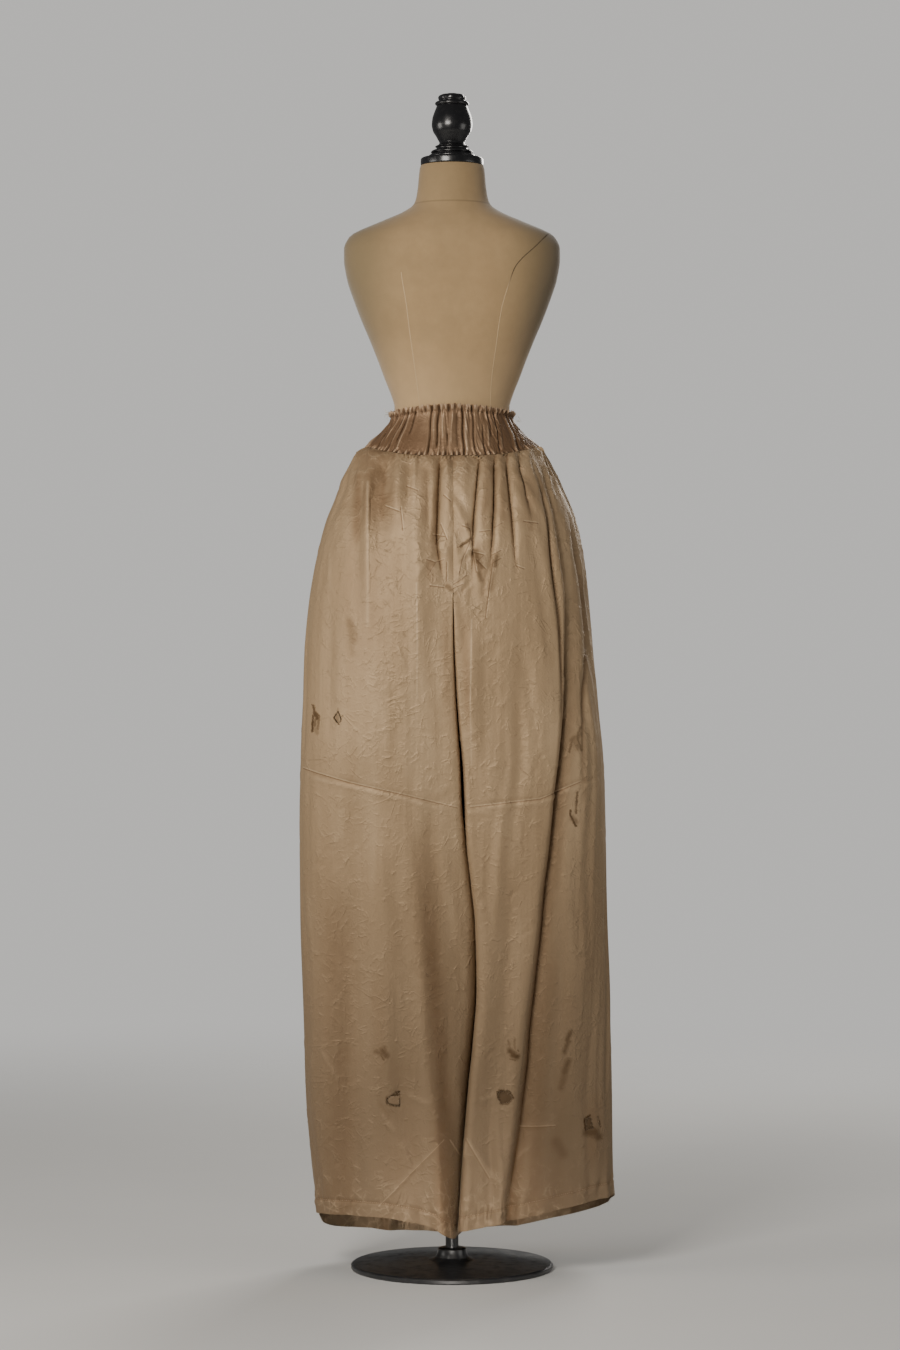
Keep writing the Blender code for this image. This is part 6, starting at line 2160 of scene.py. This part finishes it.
# %% Jersey
JERSEY = (0.39, 0.262, 0.132, 1.0)
JERSEY_SOILED = (0.28, 0.18, 0.086, 1.0)
# lighter jersey for painted light at the waist
JERSEY_PAINTED_LIGHT = (0.5, 0.34, 0.18, 1.0)
JERSEY_EDGE = (0.17, 0.126, 0.066, 1.0)
SEAM_SHADE = (0.09, 0.06, 0.03, 1.0)
SEAM_LIGHT = (0.47, 0.335, 0.19, 1.0)


def form_jersey():
    made, tree, place = new_material("form_jersey_cover")
    x, _, height = parts_of(tree, place)
    colour = tint(tree, JERSEY, blotches(tree, place, 6.0, 0.7, 0.42), 0.55, JERSEY_SOILED)
    colour = tint(tree, colour, blotches(tree, place, 70.0, 1.0, 0.45), 0.22, JERSEY_SOILED)
    aside = calc(tree, "ABSOLUTE", x)
    to_neck = apart(tree, height, NECK_SEAM)
    # painted shade towards the edges and on the right, darker towards the shoulders and neck, a dark neck
    # seam line, painted light at the waist
    for value, low, high, first, last, over in (
        (aside, 0.06, 0.17, 0.0, 0.9, JERSEY_EDGE), (x, 0.115, 0.185, 0.0, 0.42, SEAM_SHADE),
        (height, 1.72, 1.86, 0.0, 0.4, JERSEY_EDGE), (to_neck, 0.0006, 0.002, 0.34, 0.0, SEAM_SHADE),
        (height, 1.44, 1.6, 0.7, 0.0, JERSEY_PAINTED_LIGHT),
    ):
        colour = mixed(tree, stepped(tree, value, low, high, first, last), colour, over)
    colour = tint(tree, colour, blotches(tree, place, 26.0, 0.8, 0.42), 0.16, JERSEY_EDGE)
    relief = weighed(tree, (woven(tree, place, 1100.0, 0.35), 0.00018), (noise(tree, place, 45.0), 0.0004))
    return finished(made, colour, relief, JERSEY, {
        "Roughness": 0.85, "Specular IOR Level": 0.25, "Sheen Weight": 0.25, "Sheen Roughness": 0.5,
    })


def seam_cord():
    """The seams are a little lighter than the cover, with painted shade where the armhole seam sinks in."""
    made, tree, place = new_material("form_seam_cord")
    x, _, height = parts_of(tree, place)
    sunk = times(tree, stepped(tree, height, 1.65, 1.685), stepped(tree, x, 0.07, 0.095))
    spots = noise(tree, place, 300.0)
    colour = mixed(tree, sunk, tint(tree, SEAM_LIGHT, spots, 0.4, JERSEY), SEAM_SHADE)
    return finished(made, colour, times(tree, spots, 0.0002), JERSEY, {"Roughness": 0.85})


# %% Lacquer and iron
def dark_gloss(name, bare, dusty, cloud, share, roughness, skin, more):
    """A dark gloss with a trace of dust. Roughness is given as bare and what the dust adds, skin as bumps
    to the metre and their height."""
    made, tree, place = new_material(name)
    dust = blotches(tree, place, *cloud)
    colour = tint(tree, bare, dust, share, dusty)
    rough = weighed(tree, (dust, roughness[1]), base=roughness[0])
    relief = times(tree, noise(tree, place, skin[0]), skin[1])
    return finished(made, colour, relief, bare, {"Roughness": rough, **more})


lacquer = dark_gloss(
    "gloss_black_lacquer", (0.006, 0.006, 0.007, 1.0), (0.03, 0.028, 0.026, 1.0), (160.0, 1.0, 0.3), 0.25,
    (0.26, 0.1), (90.0, 0.00005), {"Coat Weight": 0.15, "Coat Roughness": 0.16},
)
iron = dark_gloss(
    "enamelled_iron", (0.012, 0.012, 0.013, 1.0), (0.045, 0.042, 0.038, 1.0), (60.0, 1.0, 0.34), 0.4,
    (0.3, 0.2), (420.0, 0.0001), {},
)
form.data.materials.append(form_jersey())
cover_seams.data.materials.append(seam_cord())
for piece in (cap, finial):
    piece.data.materials.append(lacquer)
for piece in (foot, pole):
    piece.data.materials.append(iron)
print("materials:", len(bpy.data.materials))

# %% [markdown]
# ## Floor
#
# A plain pale floor. Its disc fades out towards its edge, so that no line shows where it ends.

# %% Pale floor
FLOOR_RADIUS = 4.6
FLOOR_SIDES = 72
FADE_FROM, FADE_TO = 1.4, 0.96  # in metres, and as a share of the radius
FLOOR_PALE = (0.6, 0.595, 0.58, 1.0)
FLOOR_GRAIN = (0.57, 0.565, 0.55, 1.0)


def pale_floor():
    turn = np.linspace(0, 2 * math.pi, FLOOR_SIDES, endpoint=False)
    rim = FLOOR_RADIUS * np.cos(turn), FLOOR_RADIUS * np.sin(turn), np.zeros(FLOOR_SIDES)
    floor = mesh_piece("pale_floor", np.column_stack(rim), [range(FLOOR_SIDES)])
    made, tree, place = new_material("pale_floor_paint")
    from_middle = vector_calc(tree, "LENGTH", place, out="Value")
    feed(tree, tree.nodes["Principled BSDF"].inputs, {
        "Base Color": mixed(tree, noise(tree, place, 3.0, 3.0), FLOOR_PALE, FLOOR_GRAIN), "Roughness": 0.9,
        "Alpha": stepped(tree, from_middle, FADE_FROM, FADE_TO * FLOOR_RADIUS, 1.0, 0.0),
    })
    floor.data.materials.append(made)


pale_floor()

# %% [markdown]
# ## Joining the frame
#
# Every piece rides on the one body, and ten of them stand in for a solid, which is hidden.

# %% Tie every piece to the frame
for name, piece in panels.items():
    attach(piece, "root")
    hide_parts(PANELS[name][3])
for piece, node, finish in (
    (band, "waistband", "band_satin"), (form, "form_torso", "form_jersey"),
    (cap, "neck_cap", "black_lacquer"), (finial, "finial", "black_lacquer"),
    (pole, "stand_pole", "stand_iron"), (foot, "stand_base", "stand_iron"),
):
    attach(piece, "root")
    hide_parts(node)
for piece, finish in (
    (hem_thread, "leg_satin"), (frayed_threads, "leg_satin"), (torn, "leg_satin"),
    (band_thread, "band_satin"), (heading_threads, "band_satin"), (loose_ends, "band_satin"),
    (cover_seams, "form_jersey"),
):
    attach(piece, "root")
